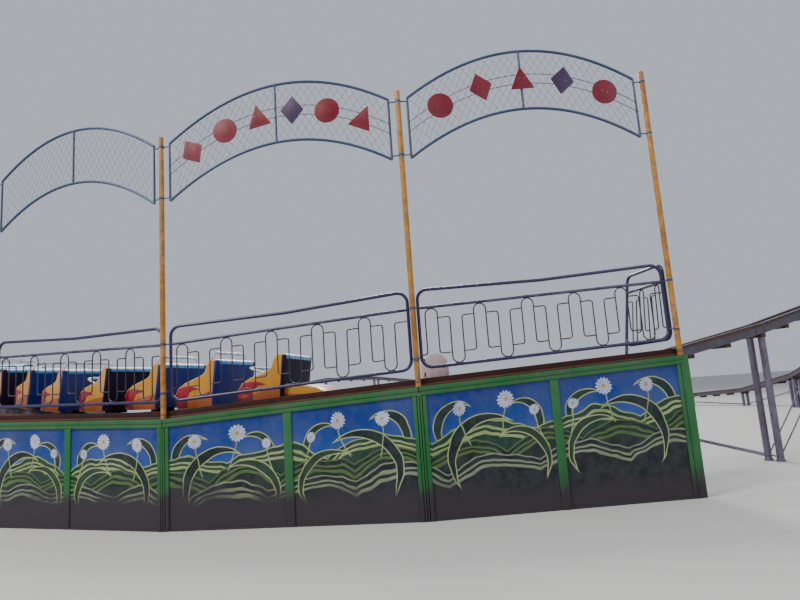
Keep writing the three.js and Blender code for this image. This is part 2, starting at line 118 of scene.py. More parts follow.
# X runs along the front of a bay from its left mast, Y points inwards and Z is up
def bayMatrix(bay):
    corner = ringPoint(ring["facade"], mastAngle(bay), 0)
    return Matrix.Translation(corner) @ Matrix.Rotation(mastAngle(bay) + moduleAngle / 2, 4, "Z")


def bayHeight(bay, distance):
    low, high = ring["deckHeights"][bay:bay + 2]
    return low + (high - low) * distance / bayLength


# Camera
camera = {
    "eye": (4.62445, -19.14701, 1.4),
    "yaw": 0.25915,
    "pitch": 0.15283,
    "roll": -0.0699,
    "focal": 594.28,
    "imageWidth": 800,
    "sensor": 36,
    "clipEnd": 400,
}


def makeCamera():
    yaw, pitch, roll = camera["yaw"], camera["pitch"], camera["roll"]
    level = Vector((-math.sin(yaw), math.cos(yaw), 0))
    forward = math.cos(pitch) * level + math.sin(pitch) * up
    lift = math.cos(pitch) * up - math.sin(pitch) * level
    right = Vector((math.cos(yaw), math.sin(yaw), 0))
    across = math.cos(roll) * right + math.sin(roll) * lift
    above = math.cos(roll) * lift - math.sin(roll) * right
    data = bpy.data.cameras.new("viewCamera")
    data.sensor_width = camera["sensor"]
    data.lens = camera["focal"] / camera["imageWidth"] * camera["sensor"]
    data.clip_end = camera["clipEnd"]
    holder = bpy.data.objects.new("viewCamera", data)
    holder.matrix_world = axesAt(Vector(camera["eye"]), across, above, -forward)
    bpy.context.scene.collection.objects.link(holder)
    bpy.context.scene.camera = holder


makeCamera()


# Node helpers
def addNode(tree, kind, sockets=None, **settings):
    node = tree.nodes.new(kind)
    for name, value in settings.items():
        setattr(node, name, value)
    for key, value in (sockets or {}).items():
        if isinstance(value, bpy.types.NodeSocket):
            tree.links.new(value, node.inputs[key])
        else:
            node.inputs[key].default_value = value
    return node


def mathNode(tree, operation, first, second=0.5):
    return addNode(tree, "ShaderNodeMath", {0: first, 1: second}, operation=operation).outputs[0]


def plus(tree, first, second):
    return mathNode(tree, "ADD", first, second)


def minus(tree, first, second):
    return mathNode(tree, "SUBTRACT", first, second)


def times(tree, first, second):
    return mathNode(tree, "MULTIPLY", first, second)


def absolute(tree, value):
    return mathNode(tree, "ABSOLUTE", value)


def mixColour(tree, factor, first, second):
    sockets = {0: factor, 6: first, 7: second}
    return addNode(tree, "ShaderNodeMix", sockets, data_type="RGBA", blend_type="MIX").outputs[2]


def ramp(tree, value, low, high, first=0.0, second=1.0):
    sockets = {"Value": value, "From Min": low, "From Max": high, "To Min": first, "To Max": second}
    return addNode(tree, "ShaderNodeMapRange", sockets, interpolation_type="SMOOTHSTEP").outputs["Result"]


def objectPlace(tree):
    return addNode(tree, "ShaderNodeTexCoord").outputs["Object"]


def noiseAt(tree, place, scale, detail, roughness=0.5):
    sockets = {"Vector": place, "Scale": scale, "Detail": detail, "Roughness": roughness}
    return addNode(tree, "ShaderNodeTexNoise", sockets).outputs["Fac"]


# Noise that swings to both sides of nought, by half the amount
def swing(tree, noise, amount):
    return times(tree, minus(tree, noise, 0.5), amount)


def addBump(tree, shader, strength, height):
    sockets = {"Strength": strength, "Distance": 0.002, "Height": height}
    tree.links.new(addNode(tree, "ShaderNodeBump", sockets).outputs[0], shader.inputs["Normal"])


# A screen colour as paint: the studio is brighter than the shade in the photo, so it is made deeper and richer
def srgb(red, green, blue, depth=0.66, richness=1.22):
    def linear(value):
        value /= 255
        return value / 12.92 if value <= 0.04045 else ((value + 0.055) / 1.055) ** 2.4
    parts = [linear(red), linear(green), linear(blue)]
    grey = 0.3 * parts[0] + 0.6 * parts[1] + 0.1 * parts[2]
    return (*[max(0.002, depth * (grey + richness * (part - grey))) for part in parts], 1)


def newGroup(name, inputs, outputs):
    group = bpy.data.node_groups.new(name, "ShaderNodeTree")
    for label, kind, value in inputs:
        socket = group.interface.new_socket(label, in_out="INPUT", socket_type="NodeSocket" + kind)
        socket.default_value = value
    for label, kind in outputs:
        group.interface.new_socket(label, in_out="OUTPUT", socket_type="NodeSocket" + kind)
    return group, addNode(group, "NodeGroupInput"), addNode(group, "NodeGroupOutput")


paintDefaults = {
    "roughness": 0.45, "metallic": 0.0, "coat": 0.0, "specular": 0.5, "dirt": (62, 56, 48), "fading": 0.6,
    "streaks": 0.3, "grain": 60.0, "edge": 0.5, "patches": 0.1, "bare": (118, 78, 52), "bump": 0.08,
}


# Broad fading, fine grain and rain streaks down a painted surface
def makeWeathering():
    inputs = [
        ("Colour", "Color", (0.5, 0.5, 0.5, 1)), ("Dirt Colour", "Color", srgb(*paintDefaults["dirt"])),
        ("Fading", "Float", 0.15), ("Streaks", "Float", 0.3), ("Grain Scale", "Float", 60.0),
    ]
    outputs = [("Colour", "Color"), ("Dirt", "Float"), ("Grain", "Float")]
    group, source, result = newGroup("weathering", inputs, outputs)
    place = objectPlace(group)
    broad = noiseAt(group, place, 1.7, 4.0)
    fine = noiseAt(group, place, source.outputs["Grain Scale"], 3.0)
    stretched = addNode(group, "ShaderNodeMapping", {"Vector": place, "Scale": (14, 14, 1.1)})
    streak = noiseAt(group, stretched.outputs[0], 1.0, 5.0)
    faded = addNode(group, "ShaderNodeHueSaturation", {
        "Saturation": ramp(group, broad, 0.3, 0.7, 0.82, 1.1),
        "Value": ramp(group, broad, 0.3, 0.7, 1.12, 0.9),
        "Color": source.outputs["Colour"],
    })
    base = mixColour(group, source.outputs["Fading"], source.outputs["Colour"], faded.outputs[0])
    dirt = times(group, ramp(group, streak, 0.52, 0.72), source.outputs["Streaks"])
    specks = times(group, ramp(group, fine, 0.6, 0.75), source.outputs["Streaks"])
    total = mathNode(group, "MAXIMUM", dirt, times(group, specks, 0.6))
    group.links.new(mixColour(group, total, base, source.outputs["Dirt Colour"]), result.inputs["Colour"])
    group.links.new(total, result.inputs["Dirt"])
    group.links.new(fine, result.inputs["Grain"])
    return group


# Paint rubbed off or rusted along the edges and in patches
def makeWear():
    inputs = [("Edge", "Float", 0.5), ("Patches", "Float", 0.2), ("Scale", "Float", 9.0)]
    group, source, result = newGroup("wornEdges", inputs, [("Mask", "Float")])
    point = addNode(group, "ShaderNodeNewGeometry").outputs["Pointiness"]
    patch = noiseAt(group, objectPlace(group), source.outputs["Scale"], 6.0, 0.65)
    raised = times(group, ramp(group, point, 0.52, 0.6), source.outputs["Edge"])
    rubbed = times(group, raised, ramp(group, patch, 0.4, 0.6))
    bare = times(group, ramp(group, patch, 0.66, 0.7), source.outputs["Patches"])
    group.links.new(mathNode(group, "MAXIMUM", rubbed, bare), result.inputs["Mask"])
    return group


weathering = makeWeathering()
wornEdges = makeWear()


def startMaterial(name, roughness, metallic=0.0, coat=0.0, specular=0.5):
    material = bpy.data.materials.new(name)
    material.use_nodes = True
    tree = material.node_tree
    shader = next(node for node in tree.nodes if node.type == "BSDF_PRINCIPLED")
    for label, value in (
        ("Roughness", roughness), ("Metallic", metallic), ("Coat Weight", coat), ("Coat Roughness", 0.2),
        ("Specular IOR Level", specular),
    ):
        shader.inputs[label].default_value = value
    return material, tree, shader


# Sends a paint colour through both groups and adds the grain's bump; gives the colour, the dirt and the wear
def agePaint(tree, shader, colour, look):
    aged = addNode(tree, "ShaderNodeGroup", {
        "Colour": colour, "Dirt Colour": srgb(*look["dirt"]), "Fading": look["fading"],
        "Streaks": look["streaks"], "Grain Scale": look["grain"],
    }, node_tree=weathering)
    sockets = {"Edge": look["edge"], "Patches": look["patches"]}
    worn = addNode(tree, "ShaderNodeGroup", sockets, node_tree=wornEdges)
    addBump(tree, shader, look["bump"], aged.outputs["Grain"])
    tone = mixColour(tree, worn.outputs[0], aged.outputs["Colour"], srgb(*look["bare"]))
    return tone, aged.outputs["Dirt"], worn.outputs[0]


def paintedFinish(name, colour, look):
    look = {**paintDefaults, **look}
    low = look["roughness"]
    material, tree, shader = startMaterial(name, low, look["metallic"], look["coat"], look["specular"])
    tone, dirt, wear = agePaint(tree, shader, srgb(*colour), look)
    tree.links.new(tone, shader.inputs["Base Color"])
    dulled = ramp(tree, plus(tree, dirt, wear), 0, 1, low, min(0.95, low + 0.35))
    tree.links.new(dulled, shader.inputs["Roughness"])
    return material


paints = {
    "mast": ("ochreMastPaint", (206, 146, 40), {"roughness": 0.38, "patches": 0.3, "bare": (96, 66, 40)}),
    "pipe": ("indigoPipePaint", (34, 30, 82), {
        "roughness": 0.34, "coat": 0.15, "patches": 0.2, "bare": (120, 110, 130)}),
    "rod": ("indigoRodPaint", (26, 24, 52), {"roughness": 0.4, "patches": 0.2}),
    "arch": ("blueGreyArchPaint", (58, 76, 116), {"roughness": 0.35, "patches": 0.3, "bare": (90, 84, 86)}),
    "wire": ("dullWire", (74, 78, 84), {"roughness": 0.5, "metallic": 0.5}),
    "redPlate": ("crimsonPlatePaint", (128, 32, 50), {
        "roughness": 0.5, "edge": 0.6, "bare": (84, 40, 44), "specular": 0.3}),
    "purplePlate": ("purplePlatePaint", (72, 48, 84), {"roughness": 0.5, "edge": 0.6, "specular": 0.3}),
    "deckEdge": ("deckEdgePaint", (46, 18, 22), {
        "roughness": 0.65, "streaks": 0.4, "grain": 90, "bump": 0.25, "patches": 0, "bare": (78, 44, 38),
        "specular": 0.2}),
    "plank": ("deckPlankPaint", (92, 62, 50), {"roughness": 0.75, "streaks": 0.5, "patches": 0.5, "bump": 0.4}),
    "darkSteel": ("darkSteelPaint", (50, 48, 50), {"roughness": 0.5, "metallic": 0.4, "patches": 0.3}),
    # a lighter steel on the rail tops: painted highlight
    "litRailTop": ("litRailTopSteel", (150, 148, 154), {"roughness": 0.35, "metallic": 0.6, "patches": 0.2}),
    "railShadeStrip": ("railShadowStrip", (40, 36, 42), {"roughness": 0.6}),
    "railWeb": ("railWebPaint", (90, 84, 98), {
        "roughness": 0.5, "streaks": 0.5, "patches": 0.15, "bare": (88, 72, 70)}),
    "leg": ("greyVioletLegPaint", (122, 116, 138), {
        "roughness": 0.5, "streaks": 0.5, "patches": 0.2, "bare": (96, 80, 80)}),
    "bolt": ("zincBolt", (150, 148, 142), {"roughness": 0.4, "metallic": 0.8, "patches": 0.5}),
    "ochreShell": ("ochreGelCoat", (222, 164, 84), {
        "roughness": 0.3, "coat": 0.4, "streaks": 0.2, "bare": (228, 190, 120), "patches": 0, "edge": 0.8}),
    # the rolled top rim is the shell's ochre with a painted highlight, so it is cream
    "rimHighlight": ("rimHighlightGelCoat", (244, 214, 152), {
        "roughness": 0.35, "coat": 0.3, "streaks": 0.1, "patches": 0}),
    "flame": ("crimsonGelCoat", (172, 40, 60), {
        "roughness": 0.3, "coat": 0.4, "streaks": 0.1, "patches": 0, "edge": 0.2}),
    # under the moulded ledge: the ochre and the crimson in shade, as painted shadow
    "rearLedgeShade": ("ochreInShadeGelCoat", (170, 96, 44), {"roughness": 0.35, "coat": 0.3, "streaks": 0.35}),
    "frontLedgeShade": ("crimsonInShadeGelCoat", (112, 26, 42), {"roughness": 0.35, "coat": 0.3, "streaks": 0.25}),
    "blueBack": ("royalBlueGelCoat", (16, 42, 124), {
        "roughness": 0.5, "streaks": 0.1, "patches": 0, "edge": 0.1, "specular": 0.2}),
    "purpleBack": ("purpleBlackGelCoat", (30, 22, 50), {
        "roughness": 0.55, "streaks": 0.08, "patches": 0, "edge": 0.1, "specular": 0.12, "fading": 0.3}),
    "whiteCowl": ("creamCowlGelCoat", (246, 236, 230), {"roughness": 0.35, "coat": 0.4, "streaks": 0.2}),
    "lapBar": ("whiteBarPaint", (236, 240, 250), {
        "roughness": 0.28, "coat": 0.3, "patches": 0.2, "bare": (120, 112, 104)}),
    "controlBox": ("pinkWhitePaint", (238, 212, 214), {"roughness": 0.42, "streaks": 0.25}),
    "tyre": ("wheelUrethane", (60, 40, 34), {"roughness": 0.6}),
}
finishes = {label: paintedFinish(*paint) for label, paint in paints.items()}


# Channelled vinyl: sky blue below and nearly white on top, a painted highlight on the faces that point up
def vinylFinish(name, side, top, low, high):
    material, tree, shader = startMaterial(name, 0.38, coat=0.25)
    facing = addNode(tree, "ShaderNodeNewGeometry").outputs["Normal"]
    upward = addNode(tree, "ShaderNodeSeparateXYZ", {0: facing}).outputs[2]
    place = objectPlace(tree)
    blotch = noiseAt(tree, place, 14.0, 5.0)
    highlightFacing = plus(tree, upward, swing(tree, blotch, 0.7))
    # the top colour, kept brighter than other paint, is a painted highlight; the side colour is the vinyl's own
    highlightedVinyl = mixColour(tree, ramp(tree, highlightFacing, low, high), srgb(*side), srgb(*top, depth=0.95))
    seam = addNode(tree, "ShaderNodeAttribute", attribute_name="seam").outputs["Fac"]
    # a dark navy line along each seam: painted shade in the sewn crease
    tree.links.new(mixColour(tree, seam, highlightedVinyl, srgb(40, 60, 96)), shader.inputs["Base Color"])
    grain = addNode(tree, "ShaderNodeTexVoronoi", {"Vector": place, "Scale": 420.0}).outputs["Distance"]
    creases = noiseAt(tree, place, 38.0, 4.0)
    addBump(tree, shader, 0.25, plus(tree, times(tree, grain, 0.35), creases))
    tree.links.new(ramp(tree, blotch, 0.3, 0.7, 0.3, 0.5), shader.inputs["Roughness"])
    return material


vinyls = {
    # each top colour is a painted highlight on the faces that point up
    "padVinyl": {"side": (96, 176, 236), "top": (250, 252, 255), "low": -0.1, "high": 0.7},
    "seatVinyl": {"side": (104, 170, 222), "top": (150, 200, 236), "low": 0.2, "high": 1.2},
}
for vinylName, vinylLook in vinyls.items():
    finishes[vinylName] = vinylFinish(vinylName, **vinylLook)


# Mesh helpers
def roundedPath(corners, radius, closed=False, steps=5):
    corners = [Vector(corner) for corner in corners]
    points = []
    count = len(corners)
    for index, corner in enumerate(corners):
        if not closed and index in (0, count - 1):
            points.append(corner)
            continue
        before = corners[index - 1] - corner
        after = corners[(index + 1) % count] - corner
        bend = radius[index] if isinstance(radius, list) else radius
        half = before.angle(after) / 2
        if half > math.radians(88) or bend <= 0:
            points.append(corner)
            continue
        trim = min(bend / math.tan(half), before.length * 0.49, after.length * 0.49)
        bend = trim * math.tan(half)
        middle = corner + (before.normalized() + after.normalized()).normalized() * (bend / math.sin(half))
        first = (corner + before.normalized() * trim - middle).normalized()
        last = (corner + after.normalized() * trim - middle).normalized()
        points += [middle + first.slerp(last, step / steps) * bend for step in range(steps + 1)]
    return points


def setPaint(faces, materialIndex):
    for face in faces:
        face.material_index = materialIndex


def addPipes(bm, runs, radius, sides=10, materialIndex=0, closed=False):
    curve = bpy.data.curves.new("pipeRun", "CURVE")
    curve.dimensions = "3D"
    curve.bevel_depth = radius
    curve.bevel_resolution = (sides - 4) // 2
    curve.use_fill_caps = True
    for points in runs:
        spline = curve.splines.new("POLY")
        spline.points.add(len(points) - 1)
        for knot, place in zip(spline.points, points):
            knot.co = (*place, 1)
        spline.use_cyclic_u = closed
    holder = bpy.data.objects.new("pipeRun", curve)
    mesh = bpy.data.meshes.new_from_object(holder)
    setPaint(mesh.polygons, materialIndex)
    bm.from_mesh(mesh)
    bpy.data.objects.remove(holder)
    bpy.data.curves.remove(curve)
    bpy.data.meshes.remove(mesh)


def bevelled(bm, geometry, offset, segments, affect="EDGES"):
    return bmesh.ops.bevel(
        bm, geom=geometry, offset=offset, segments=segments, profile=0.5, affect=affect, material=-1)


def addBox(bm, low, high, matrix=None, bevel=0.0, materialIndex=0, segments=2):
    low, high = Vector(low), Vector(high)
    place = Matrix.Translation((low + high) / 2) @ Matrix.Diagonal((*(high - low), 1))
    verts = bmesh.ops.create_cube(bm, size=1, matrix=place)["verts"]
    faces = {face for vert in verts for face in vert.link_faces}
    setPaint(faces, materialIndex)
    if bevel:
        edges = list({edge for vert in verts for edge in vert.link_edges})
        made = bevelled(bm, edges, bevel, segments)
        faces = set(made["faces"]) | {face for face in faces if face.is_valid}
        verts = list({vert for face in faces for vert in face.verts})
    if matrix is not None:
        bmesh.ops.transform(bm, matrix=matrix, verts=verts)


def addRod(bm, start, end, radius, sides=12, materialIndex=0, endRadius=None):
    start, end = Vector(start), Vector(end)
    direction = end - start
    turn = direction.to_track_quat("Z", "Y").to_matrix().to_4x4()
    made = bmesh.ops.create_cone(
        bm, cap_ends=True, segments=sides, radius1=radius, depth=direction.length,
        radius2=radius if endRadius is None else endRadius, matrix=Matrix.Translation((start + end) / 2) @ turn)
    setPaint({face for vert in made["verts"] for face in vert.link_faces}, materialIndex)
    return made["verts"]


def partsOf(items, kind):
    return [item for item in items if isinstance(item, kind)]


# A flat outline in X and Z, rounded at its corners and drawn out along Y
def addProfile(bm, outline, low, high, corner=0.0, bevel=0.0, materialIndex=0, cuts=()):
    verts = [bm.verts.new((across, low, height)) for across, height in outline]
    bm.faces.new(verts)
    if corner:
        verts = bevelled(bm, verts, corner, 3, "VERTICES")["verts"]
    faces = list({face for vert in verts for face in vert.link_faces})
    for cut in cuts:
        geometry = faces + list({edge for face in faces for edge in face.edges})
        geometry += list({vert for face in faces for vert in face.verts})
        made = bmesh.ops.bisect_plane(bm, geom=geometry, plane_co=(cut, 0, 0), plane_no=(1, 0, 0))
        faces = partsOf(made["geom"], bmesh.types.BMFace)
    extruded = bmesh.ops.extrude_face_region(bm, geom=faces, use_keep_orig=True)
    moved = partsOf(extruded["geom"], bmesh.types.BMVert)
    bmesh.ops.translate(bm, vec=(0, high - low, 0), verts=moved)
    verts = list({vert for face in faces for vert in face.verts} | set(moved))
    whole = {face for vert in verts for face in vert.link_faces}
    bmesh.ops.recalc_face_normals(bm, faces=list(whole))
    setPaint(whole, materialIndex)
    if bevel:
        flat = [edge for edge in {edge for face in whole for edge in face.edges} if len(edge.link_faces) == 2
                and abs(abs(edge.link_faces[0].normal.y) - abs(edge.link_faces[1].normal.y)) > 0.5]
        made = bevelled(bm, flat, bevel, 3)
        whole = {face for face in whole if face.is_valid} | set(made["faces"])
    return list({vert for face in whole for vert in face.verts})


def registerPiece(name, mesh, node, body):
    piece = bpy.data.objects.new(name, mesh)
    bpy.context.scene.collection.objects.link(piece)
    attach(piece, body)
    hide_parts(node)
    return piece


def finishPiece(name, bm, materials, node, matrix=None, smoothAngle=40, body="root"):
    mesh = bpy.data.meshes.new(name)
    if matrix is not None:
        bmesh.ops.transform(bm, matrix=matrix, verts=bm.verts)
    bm.to_mesh(mesh)
    bm.free()
    for label in materials:
        mesh.materials.append(finishes[label])
    mesh.shade_smooth()
    mesh.set_sharp_from_angle(angle=math.radians(smoothAngle))
    return registerPiece(name, mesh, node, body)


# Masts
mastLook = {
    "radius": 0.032, "depth": 0.036, "height": 3.5, "foot": 0.035, "sides": 24, "cap": 0.012, "capTaper": 0.6,
    "collar": 0.003, "collars": (0.265, 0.85, 2.683, 3.36), "collarHalf": 0.014,
    "rings": (0.005, 0.02), "ringHeight": 0.006,
}


def makeMast(index):
    look = mastLook

    def at(height):
        return ringPoint(ring["facade"] - look["depth"], mastAngle(index), ring["deckHeights"][index] + height)

    bm = bmesh.new()
    shoulder = look["height"] - look["cap"]
    addRod(bm, at(-look["foot"]), at(shoulder), look["radius"], look["sides"])
    capRadius = look["radius"] * look["capTaper"]
    addRod(bm, at(shoulder), at(look["height"]), look["radius"], look["sides"], endRadius=capRadius)
    bands = [(height - look["collarHalf"], height + look["collarHalf"]) for height in look["collars"]]
    bands += [(height, height + look["ringHeight"]) for height in look["rings"]]
    for low, high in bands:
        addRod(bm, at(low), at(high), look["radius"] + look["collar"], look["sides"], 1)
    finishPiece(f"mastPole{index + 1}", bm, ["mast", "arch"], f"mast_{index + 1}", smoothAngle=50)


for mastIndex in range(bayCount + 1):
    makeMast(mastIndex)
print("masts")


# Railings
railingLook = {
    "depth": 0.1, "radius": 0.019, "secondRadius": 0.01748, "top": 1.06, "second": 0.85, "bottom": 0.165,
    "inset": 0.07, "corner": 0.12, "sag": 0.035, "lug": 0.008, "lugRise": 0.12,
    "lugEnd": 0.03, "rod": 0.0075, "firstLoop": 0.146, "loop": 0.1415, "loops": 10, "loopBar": 0.72,
    "lowBar": 0.31, "bend": 0.03,
}
endRailingLook = {
    "start": 0.12, "length": 0.74, "inset": 0.02, "lean": 0.15, "corner": 0.09, "seat": 0.003,
    "plate": 0.04, "plateHeight": 0.006, "firstLoop": 0.14, "loop": 0.1, "loops": 4, "first": 0, "last": 1,
}


def mastInBay(atEnd, height):
    across = mastLook["depth"] * math.sin(moduleAngle / 2)
    depth = mastLook["depth"] * math.cos(moduleAngle / 2)
    return Vector((bayLength - across if atEnd else across, depth, height))


# A short rod from a pipe to the mast, which ends just inside the mast
def lugRun(start, atEnd):
    direction = mastInBay(atEnd, start.z) - start
    return [start, start + direction.normalized() * (direction.length - railingLook["lugEnd"])]


# Looped rods: hoops that hang from the second rail and hoops that stand on the bottom rail, in turn
def railingLoops(at, ends):
    look = railingLook
    grid = ends["loop"]
    low = look["bottom"] + look["radius"]
    high = look["second"] - look["radius"]
    bends = [0, look["bend"], grid / 2, grid / 2, look["bend"], 0]
    runs = []
    for number in range(ends["loops"]):
        left = ends["firstLoop"] + number * 2 * grid
        right = left + grid
        before, after = max(left - grid, ends["first"]), min(right + grid, ends["last"])
        bar, reach = (look["loopBar"], low) if number % 2 else (look["lowBar"], high)
        route = ((before, bar), (left, bar), (left, reach), (right, reach), (right, bar), (after, bar))
        runs.append(roundedPath([at(*corner) for corner in route], bends))
    return runs


# What both kinds of railing have: the closed outer pipe, the second rail, the lugs and the loops
def addRailing(bm, at, ends, topCorners, steps, lugEnds):
    look = railingLook
    first, last = ends["first"], ends["last"]
    corners = [at(first, look["bottom"]), at(last, look["bottom"]), *topCorners]
    addPipes(bm, [roundedPath(corners, ends["corner"], True, steps)], look["radius"], 14, closed=True)
    addPipes(bm, [[at(first, look["second"]), at(last, look["second"])]], look["secondRadius"], 12)
    lugHeights = (look["bottom"] + look["lugRise"], look["second"])
    lugs = [lugRun(at(distance, height), atEnd) for distance, atEnd in lugEnds for height in lugHeights]
    addPipes(bm, lugs, look["lug"], 8)
    addPipes(bm, railingLoops(at, ends), look["rod"], 8, 1)


def finishRailing(name, bm, node, bay):
    finishPiece(name, bm, ["pipe", "rod"], node, bayMatrix(bay), 50)


def makeRailing(bay):
    look = railingLook
    first, last = look["inset"], bayLength - look["inset"]

    def at(distance, height):
        return Vector((distance, look["depth"], bayHeight(bay, distance) + height))

    bm = bmesh.new()
    sagging = at(bayLength / 2, look["top"] - look["sag"])    # the top pipe has been leaned on for years
    topCorners = [at(last, look["top"]), sagging, at(first, look["top"])]
    addRailing(bm, at, {**look, "first": first, "last": last}, topCorners, 8, ((first, False), (last, True)))
    finishRailing(f"loopedRailing{bay + 1}", bm, f"railing_{bay + 1}", bay)


def makeEndRailing(bay, atEnd, name, node):
    look = railingLook
    ends = endRailingLook
    edge, towardsMiddle = (bayLength, -1) if atEnd else (0, 1)

    def at(share, height):
        depth = ends["start"] + share * ends["length"]
        lean = ends["lean"] * share * (1 - height / look["top"])
        distance = edge + towardsMiddle * (depth * mitre + ends["inset"] + lean)
        return Vector((distance, depth, bayHeight(bay, distance) + height))

    bm = bmesh.new()
    addRailing(bm, at, ends, [at(1, look["top"]), at(0, look["top"])], 6, ((0, atEnd),))
    foot = at(1, ends["seat"])
    addPipes(bm, [[foot, at(1, look["bottom"] + look["lugRise"])]], look["radius"], 12)
    addRod(bm, foot, foot + up * ends["plateHeight"], ends["plate"], 16)
    finishRailing(name, bm, node, bay)


for bayIndex in range(bayCount):
    makeRailing(bayIndex)
makeEndRailing(0, False, "endRailingLeft", "end_railing_left")
makeEndRailing(bayCount - 1, True, "endRailingRight", "end_railing_right")
print("railings")


# Arches and their plates
archLook = {
    "top": 3.4, "bottom": 2.643, "rise": 0.493, "radius": 0.0165, "strut": 0.01485, "steps": 28, "depth": 0.036,
    "inset": 0.12, "lug": 0.008, "lugInset": 0.04, "wire": 0.0016, "netCells": 30, "netSlant": 5, "netSteps": 4,
}
plateLook = {
    "size": 0.185, "thickness": 0.006, "gap": 0.0003, "standOff": 0.008, "corner": 0.012, "bevel": 0.0015,
    "faceSize": 0.62, "faceCorner": 0.008, "faceBevel": 0.001, "faceProud": 0.0015, "faceSunk": 0.002,
    "carrier": 0.004, "carrierLift": 0.06, "bolt": 0.007, "boltHead": 0.006, "boltSpread": 0.035, "purpleAt": 3,
    "orders": {2: ["diamond", "disc", "triangle", "diamond", "disc", "triangle"],
               3: ["disc", "diamond", "triangle", "diamond", "disc"]},
}


def archHeight(bay, distance, endHeight):
    share = (distance - archLook["inset"]) / (bayLength - 2 * archLook["inset"])
    low, high = ring["deckHeights"][bay:bay + 2]
    return low + (high - low) * share + endHeight + archLook["rise"] * 4 * share * (1 - share)


def archPoint(bay, share, endHeight):
    distance = archLook["inset"] + share * (bayLength - 2 * archLook["inset"])
    return Vector((distance, archLook["depth"], archHeight(bay, distance, endHeight)))


def archLine(bay, endHeight):
    return [archPoint(bay, step / archLook["steps"], endHeight) for step in range(archLook["steps"] + 1)]


# Slanting wires both ways, each bent to the arch and cut off at its ends
def netRuns(bay):
    look = archLook
    runs = []
    for number in range(1 - look["netSlant"], look["netCells"]):
        shares = [(number + look["netSlant"] * step / look["netSteps"]) / look["netCells"]
                  for step in range(look["netSteps"] + 1)]
        for mirrored in (False, True):
            line = []
            for step, share in enumerate(shares):
                if 0 <= share <= 1:
                    height = look["bottom"] + (look["top"] - look["bottom"]) * step / look["netSteps"]
                    line.append(archPoint(bay, 1 - share if mirrored else share, height))
            if len(line) > 1:
                runs.append(line)
    return runs


def makeArch(bay):
    look = archLook
    bm = bmesh.new()
    addPipes(bm, [archLine(bay, look[end]) for end in ("top", "bottom")], look["radius"], 12)
    struts = [[archPoint(bay, share, look[end]) for end in ("bottom", "top")] for share in (0, 0.5, 1)]
    addPipes(bm, struts, look["strut"], 10)
    lugs = []
    for height in (look["bottom"] + look["lugInset"], look["top"] - look["lugInset"]):
        for atEnd, distance in ((False, look["inset"]), (True, bayLength - look["inset"])):
            start = Vector((distance, look["depth"], ring["deckHeights"][bay + atEnd] + height))
            lugs.append(lugRun(start, atEnd))
    addPipes(bm, lugs, look["lug"], 8)
    addPipes(bm, netRuns(bay), look["wire"], 4, 1)
    finishPiece(f"signArch{bay + 1}", bm, ["arch", "wire"], f"arch_{bay + 1}", bayMatrix(bay), 50)


def plateOutline(kind, size):
    if kind == "diamond":
        return [(0, -size), (0.8 * size, 0), (0, size), (-0.8 * size, 0)]
    if kind == "triangle":
        return [(-0.8 * size, -0.7 * size), (0.8 * size, -0.7 * size), (0, 0.9 * size)]
    turns = [2 * math.pi * step / 28 for step in range(28)]
    return [(0.85 * size * math.cos(turn), 0.85 * size * math.sin(turn)) for turn in turns]


def makePlates(bay, order):
    look = plateLook
    endHeight = (archLook["top"] + archLook["bottom"]) / 2
    back = archLook["depth"] - archLook["radius"] - look["gap"]
    front = back - look["thickness"] - look["standOff"]
    bm = bmesh.new()
    for lift in (-look["carrierLift"], look["carrierLift"]):
        line = [Vector((place.x, back - look["carrier"], place.z)) for place in archLine(bay, endHeight + lift)]
        addPipes(bm, [line], look["carrier"], 6, 1)
    for index, kind in enumerate(order):
        distance = bayLength * (index + 1) / (len(order) + 1)
        height = archHeight(bay, distance, endHeight)
        slope = math.atan2(archHeight(bay, distance + 0.001, endHeight) - height, 0.001)
        place = Matrix.Translation((distance, 0, height)) @ Matrix.Rotation(-slope, 4, "Y")
        paint = 3 if index == look["purpleAt"] else 0
        sharp = kind != "disc"    # a disc has no corners to round
        parts = addProfile(
            bm, plateOutline(kind, look["size"]), front, back - look["thickness"],
            look["corner"] if sharp else 0, look["bevel"], paint)
        parts += addProfile(
            bm, plateOutline(kind, look["size"] * look["faceSize"]), front - look["faceProud"],
            front + look["faceSunk"], look["faceCorner"] if sharp else 0, look["faceBevel"], paint)
        for side in (-look["boltSpread"], look["boltSpread"]):
            parts += addRod(bm, (side, front - look["boltHead"], 0), (side, front, 0), look["bolt"], 6, 2)
        bmesh.ops.transform(bm, matrix=place, verts=parts)
    materials = ["redPlate", "wire", "bolt", "purplePlate"]
    node = f"sign_plates_{bay + 1}"
    finishPiece(f"archPlates{bay + 1}", bm, materials, node, bayMatrix(bay), 30)


for bayIndex in range(bayCount):
    makeArch(bayIndex)
for bayIndex, plateOrder in plateLook["orders"].items():
    makePlates(bayIndex, plateOrder)
print("arches")


# Decks
deckLook = {
    "front": 0.07, "width": 0.87, "gap": 0.0025, "board": 0.028, "kerb": 0.05, "bead": (-0.034, -0.012),
    "backBoard": 0.04, "plank": 0.145, "plankGap": 0.006, "plankThickness": 0.028, "beams": (0.3, 0.55, 0.8),
    "beamHalf": 0.02, "post": 0.03, "postShares": (0.12, 0.5, 0.88), "postInsets": (0.18, 0.06),
    "footPlate": 0.01,
}


# Lifts and shears what is built level, so that it follows the deck of its bay
def tilted(bay):
    low, high = ring["deckHeights"][bay:bay + 2]
    lift = Matrix.Identity(4)
    lift[2][0] = (high - low) / bayLength
    lift[2][3] = low
    return lift


def cutToMitre(bm, inset):
    for plane, normal in (((inset, 0, 0), (-1, mitre, 0)), ((bayLength - inset, 0, 0), (1, mitre, 0))):
        geometry = bm.verts[:] + bm.edges[:] + bm.faces[:]
        made = bmesh.ops.bisect_plane(bm, geom=geometry, plane_co=plane, plane_no=normal, clear_outer=True)
        bmesh.ops.holes_fill(bm, edges=partsOf(made["geom_cut"], bmesh.types.BMEdge), sides=0)


